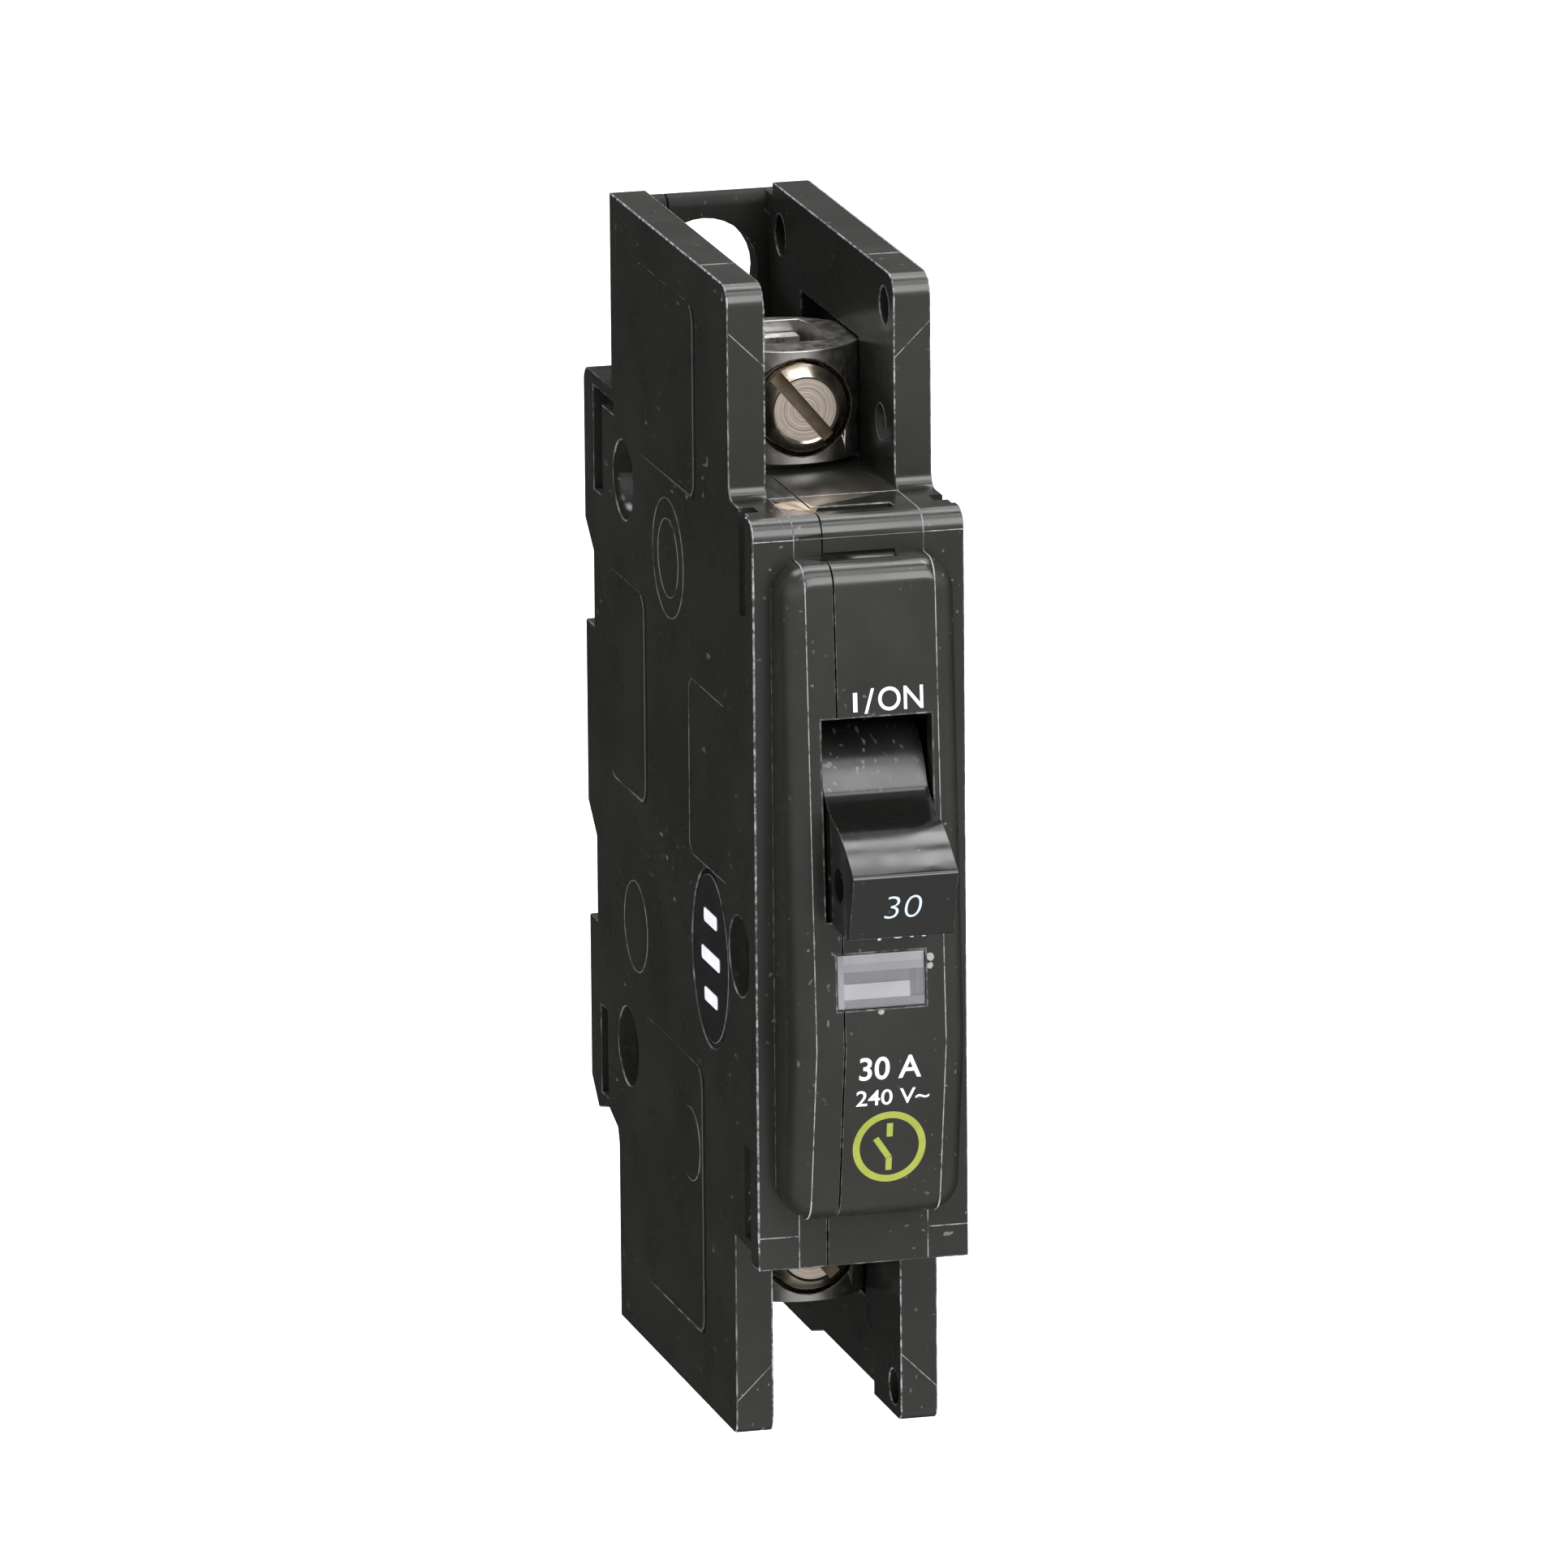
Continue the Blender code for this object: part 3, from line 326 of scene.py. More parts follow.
def turned_metal(name, dark, light, level):
    """A screw's face, turned on a lathe: fine rings round its axis."""
    made, tree, shader = tree_of(name, light, 0.3, 1.0)
    centre = into_frame((MIDDLE_X, 0.0, level))
    where = add(tree, "TexCoord").outputs["Object"]
    apart = add(tree, "VectorMath", {0: where, 1: tuple(centre)}, operation="SUBTRACT").outputs[0]
    flat = add(tree, "VectorMath", {0: apart, 1: (1.0, 0.0, 1.0)}, operation="MULTIPLY").outputs[0]
    radius = add(tree, "VectorMath", {0: flat}, operation="LENGTH").outputs["Value"]
    wobble = math_of(tree, "MULTIPLY", grain(tree, 1.6, 2.0), 0.00022)
    rings = add(tree, "CombineXYZ", {"X": math_of(tree, "ADD", radius, wobble)}).outputs[0]
    ring_noise = add(tree, "TexNoise", {"Vector": rings, "Scale": 5200.0, "Detail": 3.0}).outputs["Fac"]
    tone = ramp(tree, ring_noise, 0.35, 0.65)
    tree.links.new(mixed(tree, tone, dark, light), shader.inputs["Base Color"])
    bump(tree, shader, ring_noise, 0.55, 0.05)
    tree.links.new(ramp(tree, grain(tree, 0.8), 0.3, 0.7, 0.26, 0.42), shader.inputs["Roughness"])
    return made


def plain_skin(name, colour, roughness, size_mm=0.3, **constants):
    """Ink, film, fibre or clear plastic, and painted highlight, painted shade and painted light-and-shade
    tones, with slightly uneven tone and a fine skin.
    """
    made, tree, shader = tree_of(name, colour, roughness, **constants)
    paler = tuple(min(1.0, c * 1.12 + 0.004) for c in colour)
    tone = ramp(tree, grain(tree, size_mm * 4.0), 0.35, 0.65)
    tree.links.new(mixed(tree, tone, colour, paler), shader.inputs["Base Color"])
    bump(tree, shader, grain(tree, size_mm), 0.08, 0.02)
    return made


def into_frame(point):
    """A point of the plate's frame, in millimetres, as a point of the CAD frame in metres."""
    return CORNER + Vector(point) * MM


def nose_face(z):
    """The Y of the nose's sloping face at a height."""
    slope = NOSE_SLOPES[0] if z > NOSE_CREST[1] else NOSE_SLOPES[1]
    return NOSE_CREST[0] + slope * abs(z - NOSE_CREST[1])


CASE_SPOTS = (
    ((5.0, 5.6, 67.4), 1.5, (0.4, 0.31, 0.22)),
    ((6.1, 4.2, 67.4), 1.0, (0.4, 0.31, 0.22)),
    ((0.4, 5.6, 67.4), 0.5, (0.3, 0.3, 0.3)),
    # This pale spot at the nose's upper left corner is a painted highlight
    ((1.9, -3.5, 62.5), 0.42, (0.34, 0.34, 0.33)),
    ((14.1, -5.9, 29.0), 0.4, (0.3, 0.31, 0.3)),
    ((14.05, -5.9, 28.2), 0.3, (0.3, 0.31, 0.3)),
    ((9.6, -6.3, 24.4), 0.25, (0.3, 0.31, 0.3)),
)
BLACK = (0.0135, 0.0138, 0.0112)
BLACK_LIGHT = (0.021, 0.021, 0.0185)
GLOSS = (0.0075, 0.0075, 0.007)

case_black = moulding("case_black", BLACK, BLACK_LIGHT, 0.22, 0.775, spots=CASE_SPOTS)
# A darker, duller copy of the case black for the insides of the side slots and the tips of the walls behind
# the bays: painted shade
case_painted_shade = moulding("case_painted_shade", (0.009, 0.009, 0.008), (0.014, 0.014, 0.013), 0.62, 0.75, specular=0.2)
case_edge = worn_edge("case_edge", (0.03, 0.03, 0.028), (0.2, 0.2, 0.2), 0.46, 2.2)
seam_edge = worn_edge("seam_edge", (0.04, 0.04, 0.037), (0.2, 0.2, 0.19), 0.47, 1.0)
rubbed_edge = worn_edge("rubbed_edge", (0.035, 0.035, 0.035), (0.36, 0.36, 0.37), 0.43, 0.7)
flash_line = worn_edge("flash_line", (0.05, 0.05, 0.05), (0.36, 0.36, 0.37), 0.36, 1.1)
faint_line = worn_edge("faint_line", (0.03, 0.03, 0.03), (0.2, 0.2, 0.2), 0.36, 2.0)
# The pale line and the dark band at the side panels' front edges: painted highlight and painted shade
panel_highlight = plain_skin("panel_highlight", (0.075, 0.075, 0.073), 0.35)
panel_shade = plain_skin("panel_shade", (0.006, 0.006, 0.006), 0.4, Specular_IOR_Level=0.3)
handle_black = moulding("handle_black", GLOSS, (0.0105, 0.0105, 0.01), 0.12, 0.78)
handle_edge = worn_edge("handle_edge", (0.02, 0.02, 0.02), (0.2, 0.2, 0.2), 0.48, 1.1)
drum_black = moulding("drum_black", (0.009, 0.009, 0.0085), (0.02, 0.02, 0.019), 0.3, 0.72)
lug_plate = metal("lug_plate", (0.44, 0.43, 0.41), (0.56, 0.55, 0.53), 0.36, 0.3, strength=0.1)
# Darker metal for the thread ring inside the lugs' bores: painted shade in the bore
bore_shade_metal = metal("bore_shade_metal", (0.3, 0.28, 0.24), (0.42, 0.4, 0.35), 0.24, 0.3, strength=0.04)
# A darker copy of the lugs' plating for their upward faces: painted shade
lug_top_shade = metal("lug_top_shade", (0.18, 0.175, 0.165), (0.27, 0.26, 0.25), 0.34, 0.3, strength=0.12)
screw_plate = metal("screw_plate", (0.46, 0.4, 0.33), (0.64, 0.58, 0.51), 0.24, 0.9, strength=0.01)
tinned = metal("tinned", (0.5, 0.5, 0.49), (0.72, 0.72, 0.7), 0.3, 0.3, strength=0.1)
slot_metal = metal("slot_metal", (0.16, 0.125, 0.085), (0.27, 0.22, 0.155), 0.42, 0.2)
copper = metal("copper", (0.55, 0.24, 0.13), (0.75, 0.4, 0.26), 0.32, 0.4, (1.0, 1.0, 0.2))
braid_copper = metal("braid_copper", (0.4, 0.17, 0.09), (0.78, 0.42, 0.27), 0.38, 0.12, strength=0.6)
silver = metal("silver", (0.6, 0.58, 0.55), (0.84, 0.83, 0.8), 0.3, 0.15)
spring_steel = metal("spring_steel", (0.2, 0.2, 0.21), (0.42, 0.42, 0.43), 0.28, 0.2)
zinc_steel = metal("zinc_steel", (0.36, 0.36, 0.37), (0.58, 0.58, 0.57), 0.34, 0.3)
bimetal = metal("bimetal", (0.34, 0.28, 0.22), (0.56, 0.5, 0.42), 0.33, 0.3, (1.0, 1.0, 0.15))
rivet_plate = metal("rivet_plate", (0.22, 0.21, 0.19), (0.4, 0.39, 0.36), 0.34, 0.2)
arc_steel = metal("arc_steel", (0.38, 0.28, 0.22), (0.52, 0.44, 0.38), 0.4, 0.3)
fibre = plain_skin("fibre", (0.32, 0.075, 0.05), 0.75)
red_flag = plain_skin("red_flag", (0.55, 0.03, 0.02), 0.4)
white_ink = plain_skin("white_ink", (0.76, 0.77, 0.83), 0.45)
blue_grey_ink = plain_skin("blue_grey_ink", (0.47, 0.59, 0.72), 0.45)
green_ink = plain_skin("green_ink", (0.25, 0.29, 0.03), 0.45)
label_film = plain_skin("label_film", (0.008, 0.008, 0.008), 0.16)
lens_clear = plain_skin("lens_clear", (0.75, 0.75, 0.8), 0.06, Alpha=0.12, IOR=1.49)
# Tones for the bands behind the lens: painted light and shade, darker for shaded recesses and paler for lit
# steps
lens_light_and_shade_tones = [
    plain_skin(f"lens_light_and_shade_{k + 1}", (tone, tone * 0.985, tone * 1.06), 0.3, 0.8)
    for k, tone in enumerate((0.07, 0.1, 0.19, 0.26, 0.29))
]
screw_faces = {
    end: turned_metal(f"{end}_screw_face", (0.46, 0.37, 0.3), (0.78, 0.69, 0.62), level)
    for end, level in SCREW_LEVELS.items()
}


# Shapes


AXES = {
    "X": Matrix(((0, 0, 1), (1, 0, 0), (0, 1, 0))),
    "Y": Matrix(((1, 0, 0), (0, 0, -1), (0, 1, 0))),
    "Z": Matrix.Identity(3),
}


def prism(outline, axis, low, high):
    """A closed outline extruded along X, Y or Z between two levels, as a bmesh in millimetres."""
    bm = bmesh.new()
    points = [bm.verts.new((a, b, low)) for a, b in outline]
    face = bm.faces.new(points)
    grown = bmesh.ops.extrude_face_region(bm, geom=[face])
    moved = [v for v in grown["geom"] if isinstance(v, bmesh.types.BMVert)]
    bmesh.ops.translate(bm, vec=(0, 0, high - low), verts=moved)
    turn = AXES[axis].to_4x4()
    if axis == "Y":
        bmesh.ops.translate(bm, vec=(0, 0, -(low + high)), verts=bm.verts)
    bmesh.ops.transform(bm, matrix=turn, verts=bm.verts)
    bmesh.ops.recalc_face_normals(bm, faces=bm.faces)
    return bm


def block(low, high):
    """A box between two corners."""
    low, high = Vector(low), Vector(high)
    bm = bmesh.new()
    bmesh.ops.create_cube(bm, size=1.0)
    bmesh.ops.scale(bm, vec=high - low, verts=bm.verts)
    bmesh.ops.translate(bm, vec=(low + high) / 2, verts=bm.verts)
    return bm


def rod(start, end, radius, sides=48):
    """A round bar between two points."""
    start, end = Vector(start), Vector(end)
    bm = bmesh.new()
    length = (end - start).length
    bmesh.ops.create_cone(
        bm, cap_ends=True, segments=sides, radius1=radius, radius2=radius, depth=length
    )
    turn = (end - start).to_track_quat("Z", "Y").to_matrix().to_4x4()
    bmesh.ops.transform(bm, matrix=Matrix.Translation((start + end) / 2) @ turn, verts=bm.verts)
    return bm


def arc(centre, radius, start, end, steps=8):
    """Points of an arc, its angles in degrees from the outline's first axis."""
    turns = [math.radians(start + (end - start) * k / steps) for k in range(steps + 1)]
    return [(centre[0] + radius * math.cos(t), centre[1] + radius * math.sin(t)) for t in turns]


def rounded_box(low, high, radius, steps=6):
    """The outline of a rectangle with equal round corners."""
    (a, b), (c, d) = low, high
    corners = ((c - radius, b + radius, -90), (c - radius, d - radius, 0))
    corners += ((a + radius, d - radius, 90), (a + radius, b + radius, 180))
    return [p for x, y, t in corners for p in arc((x, y), radius, t, t + 90, steps)]


def bend(start, pull, end, steps):
    """Points of a quadratic curve between two points, without the first one."""
    made = []
    for k in range(1, steps + 1):
        t = k / steps
        weights = ((1 - t) ** 2, 2 * t * (1 - t), t * t)
        made.append(tuple(sum(w * p[i] for w, p in zip(weights, (start, pull, end))) for i in (0, 1)))
    return made


def turned(points, centre, degrees):
    """Outline points turned about a point."""
    c, s = math.cos(math.radians(degrees)), math.sin(math.radians(degrees))
    return [
        (centre[0] + (a - centre[0]) * c - (b - centre[1]) * s,
         centre[1] + (a - centre[0]) * s + (b - centre[1]) * c)
        for a, b in points
    ]


def placed(name, data):
    """A new object in the scene."""
    made = bpy.data.objects.new(name, data)
    bpy.context.scene.collection.objects.link(made)
    return made


def mesh_of(name, bm):
    """A new mesh from a bmesh, which it uses up."""
    mesh = bpy.data.meshes.new(name)
    bm.to_mesh(mesh)
    bm.free()
    return mesh


def combined(bm, others, operation):
    """The bmesh joined with, or cut by, the others with exact Booleans. It uses them all up."""
    base = placed("helper", mesh_of("helper", bm))
    tools = [placed("helper", mesh_of("helper", other)) for other in others]
    for tool in tools:
        modifier = base.modifiers.new("join", "BOOLEAN")
        modifier.operation = operation
        modifier.solver = "EXACT"
        modifier.object = tool
    graph = bpy.context.evaluated_depsgraph_get()
    mesh = bpy.data.meshes.new_from_object(base.evaluated_get(graph))
    made = bmesh.new()
    made.from_mesh(mesh)
    for extra in [base, *tools]:
        bpy.data.objects.remove(extra)
    return made


def cad_solid(node):
    """A CAD node's shape in plate millimetres, its flat faces merged."""
    bm = bmesh.new()
    bm.from_mesh(frame["nodes"][node].data)
    bmesh.ops.translate(bm, vec=-CORNER, verts=bm.verts)
    bmesh.ops.scale(bm, vec=(1 / MM,) * 3, verts=bm.verts)
    bmesh.ops.remove_doubles(bm, verts=bm.verts, dist=WELD)
    merge_flats(bm)
    return bm


def merge_flats(bm):
    """Dissolves the edges inside flat faces."""
    bmesh.ops.dissolve_limit(
        bm, angle_limit=math.radians(0.4), verts=bm.verts, edges=bm.edges, use_dissolve_boundaries=False
    )


def soften(bm, width, angle=30.0, keep=None, edge_slot=1, clamp=True):
    """Rounds the long enough outward edges whose middles pass keep. The new faces get edge_slot."""
    limit = math.radians(angle)
    chosen = []
    for edge in bm.edges:
        if not edge.is_manifold or edge.calc_face_angle_signed(0.0) < limit:
            continue
        if edge.calc_length() < 2.2 * width:
            continue
        middle = (edge.verts[0].co + edge.verts[1].co) / 2
        if keep is None or keep(middle):
            chosen.append(edge)
    bmesh.ops.bevel(
        bm, geom=chosen, offset=width, segments=2, profile=0.5, affect="EDGES",
        clamp_overlap=clamp, material=edge_slot,
    )


def show(name, bm, materials, body, sharp=40.0, replaces=()):
    """A finished piece from a bmesh in plate millimetres, riding on a CAD body."""
    bmesh.ops.scale(bm, vec=(MM,) * 3, verts=bm.verts)
    bmesh.ops.translate(bm, vec=CORNER, verts=bm.verts)
    mesh = mesh_of(name, bm)
    for material in materials:
        mesh.materials.append(material)
    mesh.shade_smooth()
    mesh.set_sharp_from_angle(angle=math.radians(sharp))
    made = placed(name, mesh)
    weigh = made.modifiers.new("face_weights", "WEIGHTED_NORMAL")
    weigh.keep_sharp = True
    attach(made, body)
    if replaces:
        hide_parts(*replaces)
    return made


def merged(parts):
    """Several bmeshes in one, left as separate shapes."""
    made = bmesh.new()
    for bm in parts:
        mesh = mesh_of("merge", bm)
        made.from_mesh(mesh)
        bpy.data.meshes.remove(mesh)
    return made


def ridge(points, ups, width=0.1, rise=0.035, closed=False):
    """A fine raised line along points of a surface whose outward directions are ups."""
    points = [Vector(p) for p in points]
    ups = [Vector(u).normalized() for u in ups] if isinstance(ups, list) else [Vector(ups)] * len(points)
    bm = bmesh.new()
    rows = []
    count = len(points)
    for k, (point, up) in enumerate(zip(points, ups)):
        before = points[(k - 1) % count] if closed or k else point
        after = points[(k + 1) % count] if closed or k < count - 1 else point
        side = up.cross((after - before).normalized()).normalized() * width / 2
        foot = point - up * 0.02
        rows.append([bm.verts.new(p) for p in (foot - side, point + up * rise, foot + side)])
    pairs = list(zip(rows, rows[1:])) + ([(rows[-1], rows[0])] if closed else [])
    for first, second in pairs:
        for a, b in ((0, 1), (1, 2)):
            bm.faces.new((first[a], second[a], second[b], first[b]))
    bmesh.ops.recalc_face_normals(bm, faces=bm.faces)
    return bm


def ring_mark(centre, x, radius, out, steps=40):
    """A fine raised circle on a side face at X."""
    turns = [2 * math.pi * k / steps for k in range(steps)]
    points = [(x, centre[0] + radius * math.cos(t), centre[1] + radius * math.sin(t)) for t in turns]
    return ridge(points, (out, 0, 0), closed=True)


# Case


def outside_cavity(point):
    """True where an edge can be seen from outside the case."""
    across = CAVITY_WALL < point.x < WIDTH - CAVITY_WALL
    along = CAVITY_Y[0] < point.y < CAVITY_Y[1]
    return not (across and along and CAVITY_Z[0] < point.z < CAVITY_Z[1])


def panel_depth(y, y0, y1):
    """How deep a side panel is at Y: it slopes in from its front edge and fades out at the rear."""
    rise = (y - y0) / PANEL_SLOPE
    fall = (y1 - y) / (y1 - y0 - PANEL_SLOPE)
    return PANEL_DEPTH * max(0.0, min(rise, fall))


def panel_cutters(x_face, out):
    """Shallow panels in a side face: deepest at the front edge and fading out towards the rear."""
    made = []
    for y0, z0, y1, z1 in PANELS:
        outline = rounded_box((y0, z0), (y1, z1), PANEL_CORNER)
        panel = prism(outline, "X", *sorted((x_face, x_face + out * 2.0)))
        everything = [*panel.verts, *panel.edges, *panel.faces]
        crease = (0.0, y0 + PANEL_SLOPE, 0.0)
        bmesh.ops.bisect_plane(panel, geom=everything, plane_co=crease, plane_no=(0.0, 1.0, 0.0))
        for v in panel.verts:
            if abs(v.co.x - x_face) < 0.01:
                v.co.x -= out * (panel_depth(v.co.y, y0, y1) - 0.012)
        made.append(panel)
    return made


def at_slot_level(point):
    """True at the heights of the narrow slots in the side faces."""
    return point.z > SIDE_SLOTS_ABOVE or point.z < SIDE_SLOTS_BELOW


def beside_flange(point):
    """True at the dark slots behind the front flange, at both sides."""
    outer = point.x < 1.7 or point.x > WIDTH - 1.7
    return outer and FLANGE_SLOT_Y[0] < point.y < FLANGE_SLOT_Y[1] and at_slot_level(point)


def at_seam(point):
    """True along the line where the two halves meet."""
    return abs(point.x - PARTING_X) < 0.1


def rubbed(point):
    """True along worn edges: the plate's left edge and the barriers' outer and inner edges."""
    plate = point.x < 0.3 and point.y < 2.9
    beyond_plate = point.z > 68.5 or point.z < -0.5
    at_tip = point.z > 84.0 or point.z < -15.8
    tips = (point.x < 0.6 or point.x > WIDTH - 0.6) and at_tip and point.y > 9.0
    inner = min(abs(point.x - x) for x in BARRIER_INNER) < 0.2
    return plate or tips or (inner and beyond_plate and point.y < 52.0)


def opening_rim(point):
    """True at the rims of the handle's slot and the window in the nose's face."""
    return 4.5 < point.x < 15.0 and point.y < -3.4 and 24.4 < point.z < 50.8


def in_side_slot(point):
    """True inside the narrow slots in the side faces, behind the flange and beside the rail tabs."""
    inside = 0.36 < min(point.x, WIDTH - point.x) < SIDE_SLOT_DEPTH
    at_slot = any(low < point.y < high for low, high in (FLANGE_SLOT_Y, TAB_SLOT_Y))
    return inside and at_slot_level(point) and at_slot


def rounded_edge(point):
    """True where an outside edge of the case is rounded."""
    return outside_cavity(point) and not (at_seam(point) or beside_flange(point))


def rear_wall_round(point):
    """True at the rounded tips of the walls behind the bays."""
    return 51.5 < point.y < 55.2 and 2.3 < point.x < 16.8 and (point.z > 81.5 or point.z < -12.7)


def shells():
    """The two halves of the case: shallow panels cut in, a narrow seam and every outward edge rounded."""
    for node, name, x_face, out in (
        ("main_case", "case_shell", BODY_RIGHT, 1),
        ("side_cover", "cover_shell", BODY_LEFT, -1),
    ):
        bm = combined(cad_solid(node), panel_cutters(x_face, out), "DIFFERENCE")
        bmesh.ops.remove_doubles(bm, verts=bm.verts, dist=WELD)
        merge_flats(bm)
        for v in bm.verts:
            if 0.1 < abs(v.co.x - PARTING_X) < 0.2:
                v.co.x = PARTING_X + math.copysign(SEAM_HALF, v.co.x - PARTING_X)
        soften(bm, 0.045, keep=lambda p: at_seam(p) and outside_cavity(p), edge_slot=2, clamp=False)
        soften(bm, 0.12, keep=rounded_edge, clamp=False)
        for face in bm.faces:
            middle = face.calc_center_median()
            # Faces inside the side slots and on the rear walls' tips get the darker, duller black: painted
            # shade
            if rear_wall_round(middle) or in_side_slot(middle):
                face.material_index = 4
            elif face.material_index == 1 and opening_rim(middle):
                face.material_index = 2
            elif face.material_index == 1 and rubbed(middle):
                face.material_index = 3
        materials = [case_black, case_edge, seam_edge, rubbed_edge, case_painted_shade]
        show(name, bm, materials, "case", replaces=[node])


def front_profile():
    """The front's side view from the shelf down to the lower bay, with its outward normals."""
    top = PLATE_TOP
    centre_y, centre_z = PLATE_ROUND, top - PLATE_ROUND
    nose_top, nose_low = NOSE_Z[1], NOSE_Z[0]
    edge = NOSE_EDGE
    points = [((SHELF_LINE_Y, top), (0, 1)), ((PLATE_THICKNESS, top), (0, 1))]
    for y, z in arc((centre_y, centre_z), PLATE_ROUND, 90, 180, 6):
        points.append(((y, z), (y - centre_y, z - centre_z)))

    def corner(inner_z, start):
        turn = arc((0.0, inner_z), edge, start, start + 90, 6)
        return [((nose_face(z) + edge + y, z), (y, z - inner_z)) for y, z in turn]

    points += [((0.0, nose_top + 0.05), (-1, 0.2)), ((-0.1, nose_top), (-0.4, 1))]
    points += [*corner(nose_top - edge, 90), (NOSE_CREST, (-1, 0)), *corner(nose_low + edge, 180)]
    points += [((-0.1, nose_low), (-0.4, -1)), ((0.0, nose_low - 0.05), (-1, -0.2))]
    return [*points, ((0.0, 0.1), (-1, 0))]


def witness_lines():
    """The fine raised lines where the mould's inserts met: on the front, the barriers and the side."""
    profile = front_profile()
    over = [
        ridge([(x, *p) for p, _ in profile], [(0, *n) for _, n in profile], 0.13, 0.04) for x in WITNESS_X
    ]
    round_end = PLATE_TOP - PLATE_ROUND
    front = (0, -1, 0)
    for x0, x1, z in (
        (0.1, WITNESS_X[0], round_end), (WITNESS_X[1], WIDTH - 0.1, round_end),
        (0.1, WITNESS_X[0], LOW_LINE_Z), (WITNESS_X[1], WIDTH - 0.1, LOW_LINE_Z),
    ):
        over.append(ridge([(x0, 0, z), (x1, 0, z)], front, 0.13, 0.04))
    for x0, x1 in ((BARRIER_INNER[0], PARTING_X - 0.2), (PARTING_X + 0.2, BARRIER_INNER[1])):
        over.append(ridge([(x0, SHELF_LINE_Y, PLATE_TOP), (x1, SHELF_LINE_Y, PLATE_TOP)], (0, 0, 1)))
    outer = (BODY_LEFT + 0.1, BODY_RIGHT - 0.1)
    for wall_out, wall_in in ((outer[0], BARRIER_INNER[0]), (outer[1], BARRIER_INNER[1])):
        upper = [(wall_out, BARRIER_FRONT, 82.2), (wall_in, BARRIER_FRONT, 79.0)]
        lower = [(wall_out, BARRIER_FRONT, -14.4), (wall_in, BARRIER_FRONT, -11.2)]
        over += [ridge(upper, front), ridge(lower, front)]
        for z, up in ((BARRIER_TOP, 1), (BARRIER_BOTTOM, -1)):
            over.append(ridge([(wall_out, 19.0, z), (wall_in, 19.0, z)], (0, 0, up), 0.09, 0.03))
    show("front_witness_lines", merged(over), [flash_line], "case")
    fine = [ridge([(WITNESS_X[0], 0, round_end), (WITNESS_X[1], 0, round_end)], front, 0.09, 0.02)]
    for x_face, out in ((BODY_LEFT, -1), (BODY_RIGHT, 1)):
        for y, z, radius in PIN_MARKS:
            inside = PANELS[2][0] < y < PANELS[2][2] and z < PANELS[2][3]
            depth = panel_depth(y, PANELS[2][0], PANELS[2][2]) if inside else 0.0
            fine.append(ring_mark((y, z), x_face - out * depth, radius, out))
        frame_line = [(12.0, 48.2), (23.0, 48.2), (23.9, 47.4), (24.1, 33.0), (23.2, 32.2), (11.6, 32.3)]
        fine.append(ridge([(x_face, y, z) for y, z in frame_line], (out, 0, 0), 0.09, 0.03))
    for x, out in ((BARRIER_INNER[1], -1), (BARRIER_INNER[0], 1)):
        fine.append(ring_mark((13.9, 72.4), x, 1.65, out, 24))
    show("side_witness_lines", merged(fine), [faint_line], "case")


def rim_line(x_range, z_range):
    """A fine line round an opening in the nose's face."""
    (left, right), (low, high) = x_range, z_range
    corners = [(left, low), (right, low), (right, high), (left, high)]
    points = [(x, nose_face(z), z) for x, z in corners]
    lines = [(points[k], points[(k + 1) % 4]) for k in range(4)]
    return [ridge(line, (0, -1, 0), 0.07, 0.012) for line in lines]


